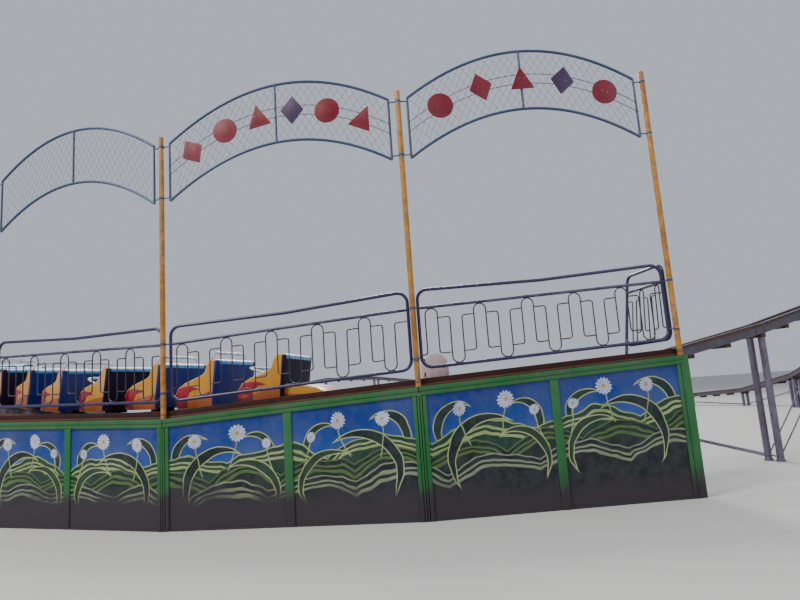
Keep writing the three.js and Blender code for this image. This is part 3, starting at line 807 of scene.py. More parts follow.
def makeDeck(bay):
    look = deckLook
    front, back = look["front"], look["front"] + look["width"]
    board = ring["deckThickness"]
    under = -look["plankThickness"] - 0.001
    step = look["plank"] + look["plankGap"]
    bm = bmesh.new()

    def lengthwise(nearDepth, farDepth, low, high, **settings):
        addBox(bm, (0, nearDepth, low), (bayLength, farDepth, high), **settings)

    for number in range(int(bayLength / step) + 1):
        near = (number * step, front + 0.03, -look["plankThickness"])
        far = (number * step + look["plank"], back - 0.004, 0)
        addBox(bm, near, far, bevel=0.003, materialIndex=1, segments=1)
    lengthwise(front, front + look["board"], -board, look["kerb"], bevel=0.004)
    lengthwise(front - 0.008, front + 0.01, *look["bead"], bevel=0.003, materialIndex=1)
    lengthwise(back - look["backBoard"], back, -board, under, bevel=0.003)
    for depth in look["beams"]:
        middle = front + depth
        lengthwise(middle - look["beamHalf"], middle + look["beamHalf"], -board, under, materialIndex=2)
    cutToMitre(bm, look["gap"])
    bmesh.ops.transform(bm, matrix=tilted(bay), verts=bm.verts)
    for depth in (front + look["postInsets"][0], back - look["postInsets"][1]):
        for share in look["postShares"]:
            across = bayLength * share
            top = bayHeight(bay, across) - board + 0.01
            addRod(bm, (across, depth, 0), (across, depth, top), look["post"], 16, 2)
            addRod(bm, (across, depth, 0), (across, depth, look["footPlate"]), look["post"] * 2, 16, 2)
    materials = ["deckEdge", "plank", "darkSteel"]
    finishPiece(f"boardingDeck{bay + 1}", bm, materials, f"deck_{bay + 1}", bayMatrix(bay), 30)


for bayIndex in range(bayCount):
    makeDeck(bayIndex)
print("decks")


# Skirt frames and painted panels
skirtLook = {
    "top": 0.036, "thickness": 0.06, "gap": 0.004, "rail": 0.1, "groove": (0.052, 0.06), "grooveDepth": 0.008,
    "post": 0.1, "postDepth": 0.003, "corner": 0.028, "cornerGap": 0.006, "stile": 0.078, "endBoard": 0.07,
    "footRail": 0.11, "footRailDepth": 0.022, "footStrip": 0.016, "panel": 0.015, "paintedDepth": 0.02,
    "paintedThickness": 0.006, "lap": 0.02, "gapShadePost": 0.06, "gapShadePostHalf": 0.03, "gapShadePostSetBack": 0.026,
}
wallLook = {
    "green": (54, 114, 68), "dirt": (66, 60, 66), "dirtNoise": 2.6, "dirtRagged": 0.45, "dirtHalf": 0.14,
    "dirtLeft": 0.4, "dirtRight": 0.22, "age": {"fading": 0.7, "streaks": 0.25, "patches": 0.25, "bump": 0.2},
    "frame": {"edge": 0.5, "bare": (86, 104, 78)},
    "panel": {"edge": 0.2, "bare": (96, 104, 104)},
}


def wallPlace(tree):
    wallMap = addNode(tree, "ShaderNodeUVMap", uv_map="wall").outputs[0]
    return addNode(tree, "ShaderNodeSeparateXYZ", {0: wallMap}).outputs


# Splashed grey dirt that takes over towards the ground, lower at the right-hand end of the station
def groundDirt(tree):
    look = wallLook
    place = objectPlace(tree)
    height = addNode(tree, "ShaderNodeSeparateXYZ", {0: place}).outputs[2]
    along = wallPlace(tree)[0]
    edge = ramp(tree, along, 2 * bayLength, 4 * bayLength, look["dirtLeft"], look["dirtRight"])
    ragged = swing(tree, noiseAt(tree, place, look["dirtNoise"], 6.0, 0.6), look["dirtRagged"])
    line = plus(tree, minus(tree, height, edge), ragged)
    return ramp(tree, line, -look["dirtHalf"], look["dirtHalf"], 1.0, 0.0)


def finishWall(tree, shader, colour, look):
    tone = agePaint(tree, shader, colour, {**paintDefaults, **wallLook["age"], **look})[0]
    dark = groundDirt(tree)
    tree.links.new(mixColour(tree, dark, tone, srgb(*wallLook["dirt"])), shader.inputs["Base Color"])
    tree.links.new(ramp(tree, dark, 0, 1, 0.5, 0.85), shader.inputs["Roughness"])


def greenSkirtFinish():
    material, tree, shader = startMaterial("greenSkirtPaint", 0.5, specular=0.3)
    finishWall(tree, shader, srgb(*wallLook["green"]), wallLook["frame"])
    return material


muralLook = {
    "skyLow": (12, 82, 160), "skyHigh": (6, 58, 138), "drift": 0.22, "shiftAlong": 0.06, "shiftUp": 0.03,
    "bladeEdge": (190, 198, 150), "stem": (168, 190, 140), "stemLength": 0.42, "petalTips": (226, 228, 246),
    "petalGaps": (120, 140, 200), "petalPairs": 7, "petalDepth": 0.22,
    "heart": (196, 178, 110), "heartSize": 0.2,
    "hills": [
        {"crest": -0.5, "height": 0.16, "spread": 1.19, "fill": (26, 62, 48), "light": (170, 184, 130)},
        {"crest": -0.67, "height": 0.15, "spread": 0.86, "fill": (28, 40, 40), "light": (96, 120, 70)},
        {"crest": -0.85, "height": 0.13, "spread": 1.03, "fill": (30, 34, 40), "light": (150, 160, 132)},
    ],
    "contours": [0.0, 0.065, 0.12],
    "bladesBehind": [
        {"centre": (-0.34, -0.5), "radius": 0.27, "hollow": (-0.25, -0.55), "hollowRadius": 0.27,
         "floor": -0.8, "fill": (20, 44, 40)},
        {"centre": (0.42, -0.52), "radius": 0.24, "hollow": (0.34, -0.56), "hollowRadius": 0.24,
         "floor": -0.8, "fill": (24, 54, 44)},
    ],
    "bladesAhead": [
        {"centre": (-0.02, -0.86), "radius": 0.46, "hollow": (0.09, -0.97), "hollowRadius": 0.5,
         "floor": -1.2, "fill": (18, 36, 36)},
        {"centre": (0.34, -0.94), "radius": 0.36, "hollow": (0.25, -1.03), "hollowRadius": 0.4,
         "floor": -1.2, "fill": (40, 66, 42)},
    ],
    "flowers": [
        {"place": (-0.3, -0.31), "size": 0.082, "bend": 0.5},
        {"place": (0.22, -0.27), "size": 0.098, "bend": -0.6},
        {"place": (0.56, -0.42), "size": 0.06, "bend": 0.8},
    ],
}


def distanceFrom(tree, across, above, centre, radius):
    sideways = minus(tree, across, centre[0])
    upward = minus(tree, above, centre[1])
    squares = plus(tree, times(tree, sideways, sideways), times(tree, upward, upward))
    return minus(tree, mathNode(tree, "SQRT", squares), radius)


# A blade of grass: what one circle holds and a second, shifted circle leaves over
def paintBlade(tree, colour, across, above, blade):
    outside = distanceFrom(tree, across, above, blade["centre"], blade["radius"])
    hollow = distanceFrom(tree, across, above, blade["hollow"], blade["hollowRadius"])
    edge = mathNode(tree, "MAXIMUM", outside, times(tree, hollow, -1))
    edge = mathNode(tree, "MAXIMUM", edge, minus(tree, blade["floor"], above))
    filled = mixColour(tree, ramp(tree, edge, -0.002, 0.002, 1.0, 0.0), colour, srgb(*blade["fill"]))
    line = ramp(tree, absolute(tree, edge), 0.004, 0.008, 1.0, 0.0)
    return mixColour(tree, line, filled, srgb(*muralLook["bladeEdge"]))


# A plain round flower on its stem, with a white head of many petals
def paintFlower(tree, colour, across, above, flower):
    look = muralLook
    sideways = minus(tree, across, flower["place"][0])
    upward = minus(tree, above, flower["place"][1])
    bend = times(tree, times(tree, upward, upward), flower["bend"])
    stem = ramp(tree, absolute(tree, minus(tree, sideways, bend)), 0.005, 0.008, 1.0, 0.0)
    stem = times(tree, stem, ramp(tree, upward, 0.0, -0.01))
    stem = times(tree, stem, ramp(tree, upward, -look["stemLength"], 0.02 - look["stemLength"]))
    colour = mixColour(tree, stem, colour, srgb(*look["stem"]))
    reach = distanceFrom(tree, across, above, flower["place"], 0)
    turn = mathNode(tree, "ARCTAN2", upward, sideways)
    petals = absolute(tree, mathNode(tree, "COSINE", times(tree, turn, look["petalPairs"])))
    depth = look["petalDepth"]
    rim = times(tree, plus(tree, times(tree, petals, depth), 1 - depth), flower["size"])
    petal = ramp(tree, minus(tree, reach, rim), -0.004, 0.003, 1.0, 0.0)
    gaps, tips = srgb(*look["petalGaps"]), srgb(*look["petalTips"])
    colour = mixColour(tree, petal, colour, mixColour(tree, ramp(tree, petals, 0.1, 0.6), gaps, tips))
    heartEdge = flower["size"] * look["heartSize"]
    heart = ramp(tree, reach, heartEdge, heartEdge * 1.3, 1.0, 0.0)
    return mixColour(tree, heart, colour, srgb(*look["heart"]))


def paintHill(tree, colour, along, rise, drift, index, hill):
    phase = plus(tree, along, index * 0.83 + 0.2)
    wave = absolute(tree, mathNode(tree, "SINE", times(tree, phase, math.pi / hill["spread"])))
    crest = plus(tree, times(tree, wave, hill["height"]), hill["crest"] - hill["height"])
    below = minus(tree, plus(tree, crest, drift), rise)
    colour = mixColour(tree, ramp(tree, below, -0.003, 0.003), colour, srgb(*hill["fill"]))
    for depth in muralLook["contours"]:
        wide = 0.006 + 0.07 * depth
        band = ramp(tree, absolute(tree, minus(tree, below, depth)), wide, wide + 0.004, 1.0, 0.0)
        colour = mixColour(tree, band, colour, srgb(*hill["light"]))
    return colour


# A painted meadow: blue sky, dark hills with light contour lines, blades of grass and plain white flowers
def muralFinish():
    look = muralLook
    material, tree, shader = startMaterial("meadowMuralPaint", 0.5, specular=0.3)
    along, rise = wallPlace(tree)[:2]
    drift = swing(tree, noiseAt(tree, objectPlace(tree), 2.2, 2.0), look["drift"])
    # every second panel is mirrored, and each is shifted a little, so that no two look the same
    panelLength = bayLength / 2
    cell = mathNode(tree, "DIVIDE", along, panelLength)
    number = mathNode(tree, "FLOOR", cell)
    flip = minus(tree, 1.0, times(tree, mathNode(tree, "FLOORED_MODULO", number, 2.0), 2.0))
    across = times(tree, times(tree, minus(tree, mathNode(tree, "FRACT", cell), 0.5), panelLength), flip)
    jitter = mathNode(tree, "SINE", times(tree, number, 12.9898))
    across = plus(tree, across, plus(tree, times(tree, jitter, look["shiftAlong"]), times(tree, drift, 0.6)))
    above = plus(tree, rise, times(tree, jitter, look["shiftUp"]))
    colour = mixColour(tree, ramp(tree, rise, -0.75, -0.2), srgb(*look["skyLow"]), srgb(*look["skyHigh"]))
    for blade in look["bladesBehind"]:
        colour = paintBlade(tree, colour, across, above, blade)
    for index, hill in enumerate(look["hills"]):
        colour = paintHill(tree, colour, along, rise, drift, index, hill)
    for blade in look["bladesAhead"]:
        colour = paintBlade(tree, colour, across, above, blade)
    for flower in look["flowers"]:
        colour = paintFlower(tree, colour, across, above, flower)
    finishWall(tree, shader, colour, wallLook["panel"])
    return material


finishes["skirtGreen"] = greenSkirtFinish()
finishes["mural"] = muralFinish()


# Wall coordinates in metres: along the whole front, and down from the deck line
def writeWallMap(piece, bay):
    inverse = bayMatrix(bay).inverted()
    layer = piece.data.uv_layers.new(name="wall")
    for loop in piece.data.loops:
        place = inverse @ piece.data.vertices[loop.vertex_index].co
        layer.data[loop.index].uv = (bay * bayLength + place.x, place.z - bayHeight(bay, place.x))


def makeSkirt(bay):
    look = skirtLook
    inset, thickness, half, stile = look["gap"], look["thickness"], look["post"] / 2, look["stile"]
    middle = bayLength / 2
    bays = ((stile, middle - half), (middle + half, bayLength - stile))

    def line(across, below):
        return (across, bayHeight(bay, across) - look["top"] - below)

    def strip(bm, upper, lower, low, bevel=0.0):
        outline = [line(0, lower), line(bayLength, lower), line(bayLength, upper), line(0, upper)]
        addProfile(bm, outline, low, thickness, bevel=bevel)

    def upright(bm, start, end, foot, below, low, high, bevel=0.0):
        outline = [(start, foot), (end, foot), line(end, below), line(start, below)]
        addProfile(bm, outline, low, high, bevel=bevel)

    bm = bmesh.new()
    strip(bm, 0, look["groove"][0], 0, 0.004)
    strip(bm, look["groove"][0] - 0.001, look["groove"][1] + 0.001, look["grooveDepth"])
    strip(bm, look["groove"][1], look["rail"], 0, 0.004)
    corner = look["corner"]
    posts = [(inset, corner), (corner + look["cornerGap"], stile), (middle - half, middle + half)]
    posts += [(bayLength - end, bayLength - start) for start, end in posts[:2]]
    for start, end in posts:
        upright(bm, start, end, 0, look["rail"] + 0.001, look["postDepth"], thickness, 0.006)
    for start, end in bays:
        depth, height = look["footRailDepth"], look["footStrip"]
        addBox(bm, (start, depth, 0), (end, thickness, look["footRail"]), bevel=0.004, segments=1)
        addBox(bm, (start, look["grooveDepth"], 0), (end, depth + 0.002, height), bevel=0.003, segments=1)
    cutToMitre(bm, inset)
    # a dark steel post behind the joint with the bay before, which stands in for the shade seen through the gap
    if bay:
        near = thickness + look["gapShadePostSetBack"]
        top = ring["deckHeights"][bay] - ring["deckThickness"] - 0.012
        low, high = (-look["gapShadePostHalf"], near, 0), (look["gapShadePostHalf"], near + look["gapShadePost"], top)
        addBox(bm, low, high, bevel=0.003, materialIndex=1, segments=1)
    if bay == bayCount - 1:    # the wall runs on past the last mast
        upright(bm, bayLength - look["lap"], bayLength + look["endBoard"], 0, 0.002, 0.006, thickness, 0.004)
    materials = ["skirtGreen", "darkSteel"]
    node = f"skirt_frame_{bay + 1}"
    piece = finishPiece(f"skirtFrame{bay + 1}", bm, materials, node, bayMatrix(bay), 30)
    writeWallMap(piece, bay)
    bm = bmesh.new()
    front = look["paintedDepth"]
    for start, end in bays:
        upright(bm, start - look["lap"], end + look["lap"], 0.012, look["rail"] - look["lap"],
                front, front + look["paintedThickness"])
    below = ring["deckThickness"] - look["top"] + 0.001
    upright(bm, 0.03, bayLength - 0.03, 0, below, thickness + 0.0003, thickness + look["panel"])
    cutToMitre(bm, inset * 2)
    node = f"skirt_panel_{bay + 1}"
    piece = finishPiece(f"muralPanel{bay + 1}", bm, ["mural"], node, bayMatrix(bay), 30)
    writeWallMap(piece, bay)


for bayIndex in range(bayCount):
    makeSkirt(bayIndex)
print("skirts")


# Track
trackLook = {
    "perSection": 4, "depth": 0.16, "width": 0.07, "thickness": 0.01, "gap": 0.00025, "strip": 0.004,
    "stripTop": 0.008, "stripFoot": 0.042, "tieWidth": 0.1, "tieDepth": 0.06, "tieShares": (0.25, 0.5, 0.75),
    "legRadius": 0.05, "legOffset": 0.112, "legDepth": 0.054, "foot": 0.069, "footHeight": 0.01,
    "weldHeight": 0.05, "weld": 0.012, "footBolt": 0.008, "footBoltTurn": 0.7,
    "brace": 0.011, "lowBrace": 0.8, "bolt": 0.009, "splice": (0.025, 0.16), "spliceHeights": (-0.148, -0.052),
    "spliceBolts": (0.06, 0.13), "spliceBoltHeights": (-0.075, -0.125),
}


def addTie(bm, index, share, look):
    outer = pointOnModule(ring["outerRail"], index, share)
    inner = pointOnModule(ring["innerRail"], index, share)
    web, half = look["thickness"] / 2, look["tieWidth"] / 2
    top = web - look["depth"]
    low, high = (web, -half, top - look["tieDepth"]), ((outer - inner).length - web, half, top)
    addBox(bm, low, high, frameAlong(outer, inner), bevel=0.005, materialIndex=1, segments=1)
    return outer, inner


def addLegPair(bm, index, share, look):
    outer, inner = addTie(bm, index, share, look)
    inward = (inner - outer).normalized()
    plate = look["footHeight"]
    legs = []
    for place in (outer + inward * look["legDepth"], inner - inward * look["legDepth"]):
        foot = Vector((place.x, place.y, 0))
        top = Vector((place.x, place.y, outer.z - look["depth"] - look["tieDepth"] / 2))
        addRod(bm, foot + up * 0.008, top, look["legRadius"], 16, 2)
        addRod(bm, foot, foot + up * plate, look["foot"], 20, 2)
        weldFoot, weldTop = foot + up * plate, foot + up * look["weldHeight"]
        addRod(bm, weldFoot, weldTop, look["legRadius"] + look["weld"], 16, 2, endRadius=look["legRadius"])
        for quarter in range(4):
            turn = quarter * math.pi / 2 + look["footBoltTurn"]
            spot = foot + Vector((math.cos(turn), math.sin(turn), 0)) * look["foot"] * 0.85
            addRod(bm, spot + up * 0.008, spot + up * 0.02, look["footBolt"], 6, 3)
        legs.append((foot, top))
    return legs


# A bolted splice plate at one end of a rail, on the side of the web away from its flanges
def addSplice(bm, radius, inward, start, other, look):
    place = frameAlong(jointPoint(radius, start), jointPoint(radius, other))
    outward = ringPoint(1, firstJoint + start * moduleAngle, 0) - ringPoint(0, 0, 0)
    sideways = place.to_3x3() @ Vector((0, 1, 0))
    aside = inward if sideways.dot(outward) > 0 else -inward
    near, far = sorted((-aside * 0.005, aside * 0.001))
    (first, last), (low, high) = look["splice"], look["spliceHeights"]
    addBox(bm, (first, near, low), (last, far, high), place, bevel=0.002, segments=1)
    for across in look["spliceBolts"]:
        for height in look["spliceBoltHeights"]:
            spot = place @ Vector((across, 0, height))
            addRod(bm, spot - sideways * aside * 0.002, spot + sideways * aside * 0.004, look["bolt"], 6, 3)


# One rail of one module: a channel with a painted highlight on its top faces, and a dark strip of painted
# shadow under its top edge
def addRail(bm, index, radius, inward, look):
    thick, wide, deep, inset = look["thickness"], look["width"], look["depth"], look["strip"]
    channel = [(inset, 0), (wide, 0), (wide, -thick), (thick, -thick), (thick, thick - deep),
               (wide, thick - deep), (wide, -deep), (inset, -deep)]
    top, foot = -look["stripTop"], -look["stripFoot"]
    strip = [(0, top), (inset + 0.001, top), (inset + 0.001, foot), (0, foot)]
    ends = (look["gap"] / bayLength, 1 - look["gap"] / bayLength)
    litRailTop = pointOnModule(radius, index, 0.5).z - 0.03
    for outline, paint in ((channel, 0), (strip, 5)):
        faces = []
        for share in ends:
            loop = []
            for across, height in outline:
                place = pointOnModule(radius - inward * across, index, share) + up * height
                loop.append(bm.verts.new(place))
            faces.append(bm.faces.new(loop))
        edges = [edge for face in faces for edge in face.edges]
        faces += bmesh.ops.bridge_loops(bm, edges=edges)["faces"]
        bmesh.ops.recalc_face_normals(bm, faces=faces)
        for face in faces:
            # the channel's top faces take the lighter steel: a painted highlight along the rail
            litTopFace = paint == 0 and face.normal.z > 0.7 and face.calc_center_median().z > litRailTop
            face.material_index = 4 if litTopFace else paint
    for start, other in ((index, index + 1), (index + 1, index)):
        addSplice(bm, radius, inward, start, other, look)


def makeTrackSection(number):
    look = trackLook
    first = number * look["perSection"]
    last = first + look["perSection"] - 1
    length = (jointPoint(ring["outerRail"], first + 1) - jointPoint(ring["outerRail"], first)).length
    nearEnd = look["legOffset"] / length
    bm = bmesh.new()
    frames = {}
    for index in range(first, last + 1):
        for radius, inward in ((ring["outerRail"], 1), (ring["innerRail"], -1)):
            addRail(bm, index, radius, inward, look)
        for share in look["tieShares"]:
            addTie(bm, index, share, look)
        frames[index] = addLegPair(bm, index, nearEnd if index == first else 0, look)
    frames[last + 1] = addLegPair(bm, last, 1 - nearEnd, look)
    braces = []
    for index in range(first, last + 1):
        near, far = (frames[index], frames[index + 1]) if index % 2 else (frames[index + 1], frames[index])
        for (foot, _), (_, top) in zip(near, far):
            reach = top.z - 0.25 if index % 2 else min(look["lowBrace"], top.z * 0.6)
            braces.append([foot + up * 0.06, Vector((top.x, top.y, max(0.15, reach)))])
    addPipes(bm, braces, look["brace"], 8, 2)
    materials = ["railWeb", "darkSteel", "leg", "bolt", "litRailTop", "railShadeStrip"]
    node = f"track_section_{number + 1}"
    finishPiece(f"trackSection{number + 1}", bm, materials, node, smoothAngle=35)


for sectionNumber in range(ring["modules"] // trackLook["perSection"]):
    makeTrackSection(sectionNumber)
print("track")


# Control box
controlLook = {
    "distance": 0.25, "depth": 0.4, "halfWidth": 0.15, "straight": 0.17, "front": -0.104, "back": 0.11,
    "door": 0.125, "doorFoot": 0.04, "hinges": (0.08, 0.24), "hingeAt": -0.132, "hingeHalf": 0.025,
    "sole": ((-0.148, -0.108, 0), (0.148, 0.108, 0.014)), "handle": ((0.085, -0.117, 0.14), (0.1, -0.108, 0.2)),
}


def makeControlBox():
    bay = bayCount - 1
    look = controlLook
    low, high = ring["deckHeights"][bay:bay + 2]
    base = bayHeight(bay, look["distance"]) + look["halfWidth"] * (high - low) / bayLength + 0.0003

    def domed(half, foot):
        turns = [math.pi * step / 14 for step in range(15)]
        dome = [(half * math.cos(turn), look["straight"] + half * math.sin(turn)) for turn in turns]
        return [(-half, foot), (half, foot), *dome]

    bm = bmesh.new()
    addProfile(bm, domed(look["halfWidth"], 0.012), look["front"], look["back"], bevel=0.008)
    front = look["front"]
    addProfile(bm, domed(look["door"], look["doorFoot"]), front - 0.006, front + 0.001, bevel=0.002)
    addBox(bm, *look["sole"], bevel=0.003, materialIndex=1, segments=1)
    addBox(bm, *look["handle"], bevel=0.003, materialIndex=1)
    for height in look["hinges"]:
        hinge = Vector((look["hingeAt"], front - 0.004, height))
        addRod(bm, hinge - up * look["hingeHalf"], hinge + up * look["hingeHalf"], 0.007, 12, 1)
    place = bayMatrix(bay) @ Matrix.Translation((look["distance"], look["depth"], base))
    finishPiece("controlCabinet", bm, ["controlBox", "darkSteel"], "control_box", place, 35)


makeControlBox()
print("control box")


# Train rows
rowLook = {
    "count": 9, "rearAngle": 4.5, "pitch": 4.45, "axleForward": 0.33, "halfWidth": 0.5, "wall": 0.04,
    "pivotForward": 0.11, "pivotHeight": 0.4, "raised": 100, "lowered": 22,
}


def rowMatrix(number):
    look = rowLook
    angle = math.radians(look["rearAngle"] - (number - 1) * look["pitch"]) - look["axleForward"] / ring["path"]
    index = math.floor((angle - firstJoint) / moduleAngle)
    middle = firstJoint + (index + 0.5) * moduleAngle
    fromMiddle = ring["path"] * math.cos(moduleAngle / 2) * math.tan(angle - middle)

    def railPoint(radius):
        return pointOnModule(radius, index, 0.5 + fromMiddle / (2 * radius * math.sin(moduleAngle / 2)))

    outer, inner = railPoint(ring["outerRail"]), railPoint(ring["innerRail"])
    origin = (outer + inner) / 2
    step = 0.02
    ahead = ringPoint(ring["path"], angle - step, railHeight(angle - step))
    behind = ringPoint(ring["path"], angle + step, railHeight(angle + step))
    body = frameAlong(origin, origin + ahead - behind) @ Matrix.Translation((-look["axleForward"], 0, 0))
    outward = (outer - inner).normalized()
    chord = (jointPoint(ring["path"], index) - jointPoint(ring["path"], index + 1)).normalized()
    lift = chord.cross(outward).normalized()
    return body, axesAt(origin, outward.cross(lift), outward, lift)


# Outlines in X, forward from the row's back, and Z, up from the rail, with the index of the finish each one has
shellLook = {
    "side": [
        (0.01, 0.06), (0.63, 0.06), (0.672, 0.12), (0.68, 0.18), (0.662, 0.258), (0.59, 0.338), (0.45, 0.4),
        (0.3, 0.45), (0.17, 0.495), (0.115, 0.54), (0.088, 0.63), (0.04, 0.69), (0.0, 0.705), (-0.072, 0.7),
    ],
    "sideThickness": 0.041, "proud": 0.004, "sunk": 0.006, "rim": 0.012,
    "noseCuts": [0.06, 0.12, 0.2, 0.28, 0.36, 0.4, 0.44, 0.48, 0.52, 0.56, 0.6, 0.625],
    "narrowFrom": 0.38, "narrowOver": 0.3, "narrowBy": 0.22, "narrowPower": 1.7,
    "trims": [
        {"thickness": 0.0025, "finish": 1, "outline": [    # flame on the nose
            (0.67, 0.13), (0.674, 0.18), (0.655, 0.254), (0.585, 0.332), (0.52, 0.352), (0.44, 0.362),
            (0.36, 0.36), (0.29, 0.344), (0.225, 0.318), (0.222, 0.304), (0.265, 0.306), (0.32, 0.3),
            (0.365, 0.278), (0.388, 0.234), (0.414, 0.19), (0.537, 0.18),
        ]},
        # painted shadow under the rear of the ledge: the ochre in shade
        {"thickness": 0.004, "finish": 2, "outline": [    # rear ledge
            (0.012, 0.064), (0.4, 0.064), (0.4, 0.2), (0.3, 0.222), (0.06, 0.27), (0.012, 0.272),
        ]},
        # painted shadow under the front of the ledge: the crimson in shade
        {"thickness": 0.004, "finish": 3, "outline": [    # front ledge
            (0.4, 0.064), (0.626, 0.064), (0.664, 0.118), (0.668, 0.14), (0.52, 0.17), (0.4, 0.2),
        ]},
    ],
    "hood": [
        (0.62, 0.06), (0.662, 0.12), (0.67, 0.18), (0.652, 0.252), (0.583, 0.328), (0.53, 0.35), (0.515, 0.31),
        (0.548, 0.24), (0.565, 0.12), (0.555, 0.06),
    ],
    "hoodHalf": 0.375,
    "lip": [
        (0.664, 0.09), (0.674, 0.14), (0.676, 0.18), (0.656, 0.225), (0.646, 0.225), (0.66, 0.18),
        (0.656, 0.14),
    ],
    "lipHalf": 0.33,
    "seatBase": [(0.03, 0.1), (0.3, 0.1), (0.285, 0.2), (0.03, 0.185)],
}


# The shell's sides draw in towards the nose
def narrowed(place):
    look = shellLook
    share = max(0.0, (place.x - look["narrowFrom"]) / look["narrowOver"])
    return Vector((place.x, place.y * (1 - look["narrowBy"] * share ** look["narrowPower"]), place.z))


def makeShellMesh():
    look = shellLook
    bm = bmesh.new()
    half = rowLook["halfWidth"]
    for side in (1, -1):
        outer = side * (half - look["proud"])
        low, high = sorted((outer, outer - side * look["sideThickness"]))
        verts = addProfile(bm, look["side"], low, high, 0.018, 0.012, 0, look["noseCuts"])
        for trim in look["trims"]:
            low, high = sorted((outer - side * look["sunk"], outer + side * trim["thickness"]))
            verts += addProfile(bm, trim["outline"], low, high, 0.006, 0.0012, trim["finish"], look["noseCuts"])
        for vert in set(verts):
            vert.co = narrowed(vert.co)
        # a rolled rim along the top edge of each side, cream as a painted highlight where the light catches the
        # rounded top
        edge = [Vector((across, side * (half - 0.02), height - 0.004)) for across, height in look["side"][4:13]]
        addPipes(bm, [roundedPath([narrowed(place) for place in edge], 0.06, steps=4)], look["rim"], 10, 5)
    addProfile(bm, look["hood"], -look["hoodHalf"], look["hoodHalf"], 0.012)
    addProfile(bm, look["lip"], -look["lipHalf"], look["lipHalf"], 0.003, 0.002, 1)
    floor = ((0.02, -half + 0.045, 0.062), (0.555, half - 0.06, 0.11))
    addBox(bm, *floor, bevel=0.006, materialIndex=4, segments=1)
    addProfile(bm, look["seatBase"], -half + 0.046, half - 0.046, 0.01, 0, 4)
    return bm


backLook = {
    "panel": [(0.034, 0.07), (0.0, 0.07), (-0.08, 0.69), (-0.03, 0.69)], "inset": 0.003,
    "cuts": (-0.3, -0.15, 0, 0.15, 0.3), "ribs": (-0.18, 0.18), "ribHalf": 0.006, "ribProud": 0.004,
    "rib": [(0.004, 0.16), (-0.004, 0.16), (-0.068, 0.62), (-0.06, 0.62)],
    "rivets": (-0.44, -0.22, 0, 0.22, 0.44), "rivet": 0.008, "rivetHeight": 0.1,
}


def makeBackMesh():
    look = backLook
    bm = bmesh.new()
    half = rowLook["halfWidth"] - look["inset"]
    addProfile(bm, look["panel"], -half, half, 0.006, 0.008)
    for plane in look["cuts"]:
        geometry = bm.verts[:] + bm.edges[:] + bm.faces[:]
        bmesh.ops.bisect_plane(bm, geom=geometry, plane_co=(0, plane, 0), plane_no=(0, 1, 0))
    for side in look["ribs"]:
        rib = addProfile(bm, look["rib"], side - look["ribHalf"], side + look["ribHalf"], 0, 0.003)
        bmesh.ops.translate(bm, vec=(-look["ribProud"], 0, 0), verts=rib)
    for place in look["rivets"]:
        height = look["rivetHeight"]
        addRod(bm, (0.001, place, height), (-0.0045, place, height), look["rivet"], 10, 1)
    return bm


cowlLook = {
    "half": 0.42, "lidHalf": 0.38,
    "body": [(0.0, 0.07), (0.0, 0.3), (-0.18, 0.288), (-0.47, 0.23), (-0.59, 0.155), (-0.595, 0.07)],
    "lid": [(-0.02, 0.298), (-0.02, 0.306), (-0.18, 0.294), (-0.46, 0.238), (-0.46, 0.229), (-0.18, 0.284)],
    "ledge": [(-0.01, 0.074), (-0.57, 0.074), (-0.56, 0.14), (-0.01, 0.17)],
    "ledgeProud": 0.005, "ledgeSunk": 0.004,
}


def makeCowlMesh():
    look = cowlLook
    bm = bmesh.new()
    addProfile(bm, look["body"], -look["half"], look["half"], 0.02, 0.016)
    addProfile(bm, look["lid"], -look["lidHalf"], look["lidHalf"], 0.003, 0.002, 1)
    near, far = look["half"] - look["ledgeSunk"], look["half"] + look["ledgeProud"]
    # painted shadow under the cowl's ledge, on both sides: the ochre in shade
    for low, high in ((-far, -near), (near, far)):
        addProfile(bm, look["ledge"], low, high, 0.006, 0.001, 2)
    return bm


barLook = {
    "reach": 0.41, "radius": 0.016, "halfWidth": 0.415, "corner": 0.075, "stubGap": 0.0008, "boss": 1.45,
    "bossInset": 0.006, "clamp": (0.06, 0.1), "clampSize": 1.12, "gripHalf": 0.3, "grip": 1.3,
}


def makeLapBarMesh():
    look = barLook
    reach, wide, radius = look["reach"], look["halfWidth"], look["radius"]
    stub = rowLook["halfWidth"] - rowLook["wall"] - look["stubGap"]
    bm = bmesh.new()
    corners = [(0, -wide, 0), (reach, -wide, 0), (reach, wide, 0), (0, wide, 0)]
    addPipes(bm, [roundedPath(corners, look["corner"], steps=8)], radius, 14)
    for side in (-1, 1):
        addRod(bm, (0, side * stub, 0), (0, side * (wide - radius), 0), radius, 16)
        boss = ((0, side * (wide + look["bossInset"]), 0), (0, side * (stub - 0.004), 0))
        addRod(bm, *boss, radius * look["boss"], 16, 1)
        first, last = look["clamp"]
        addRod(bm, (first, side * wide, 0), (last, side * wide, 0), radius * look["clampSize"], 14, 1)
    grip = [(reach, -look["gripHalf"], 0), (reach, look["gripHalf"], 0)]
    addPipes(bm, [grip], radius * look["grip"], 14, 2)
    return bm


bogieLook = {
    "railInset": 0.015, "axleDrop": -0.15, "axleLift": 0.0559, "axle": 0.016, "axleEnd": 0.02, "wheelSides": 28,
    "wheels": ((0.038, 0.002, 0.055, 1), (0.04, 0.0, 0.032, 0), (0.046, 0.0, 0.018, 0)), "hangerInset": 0.075,
}


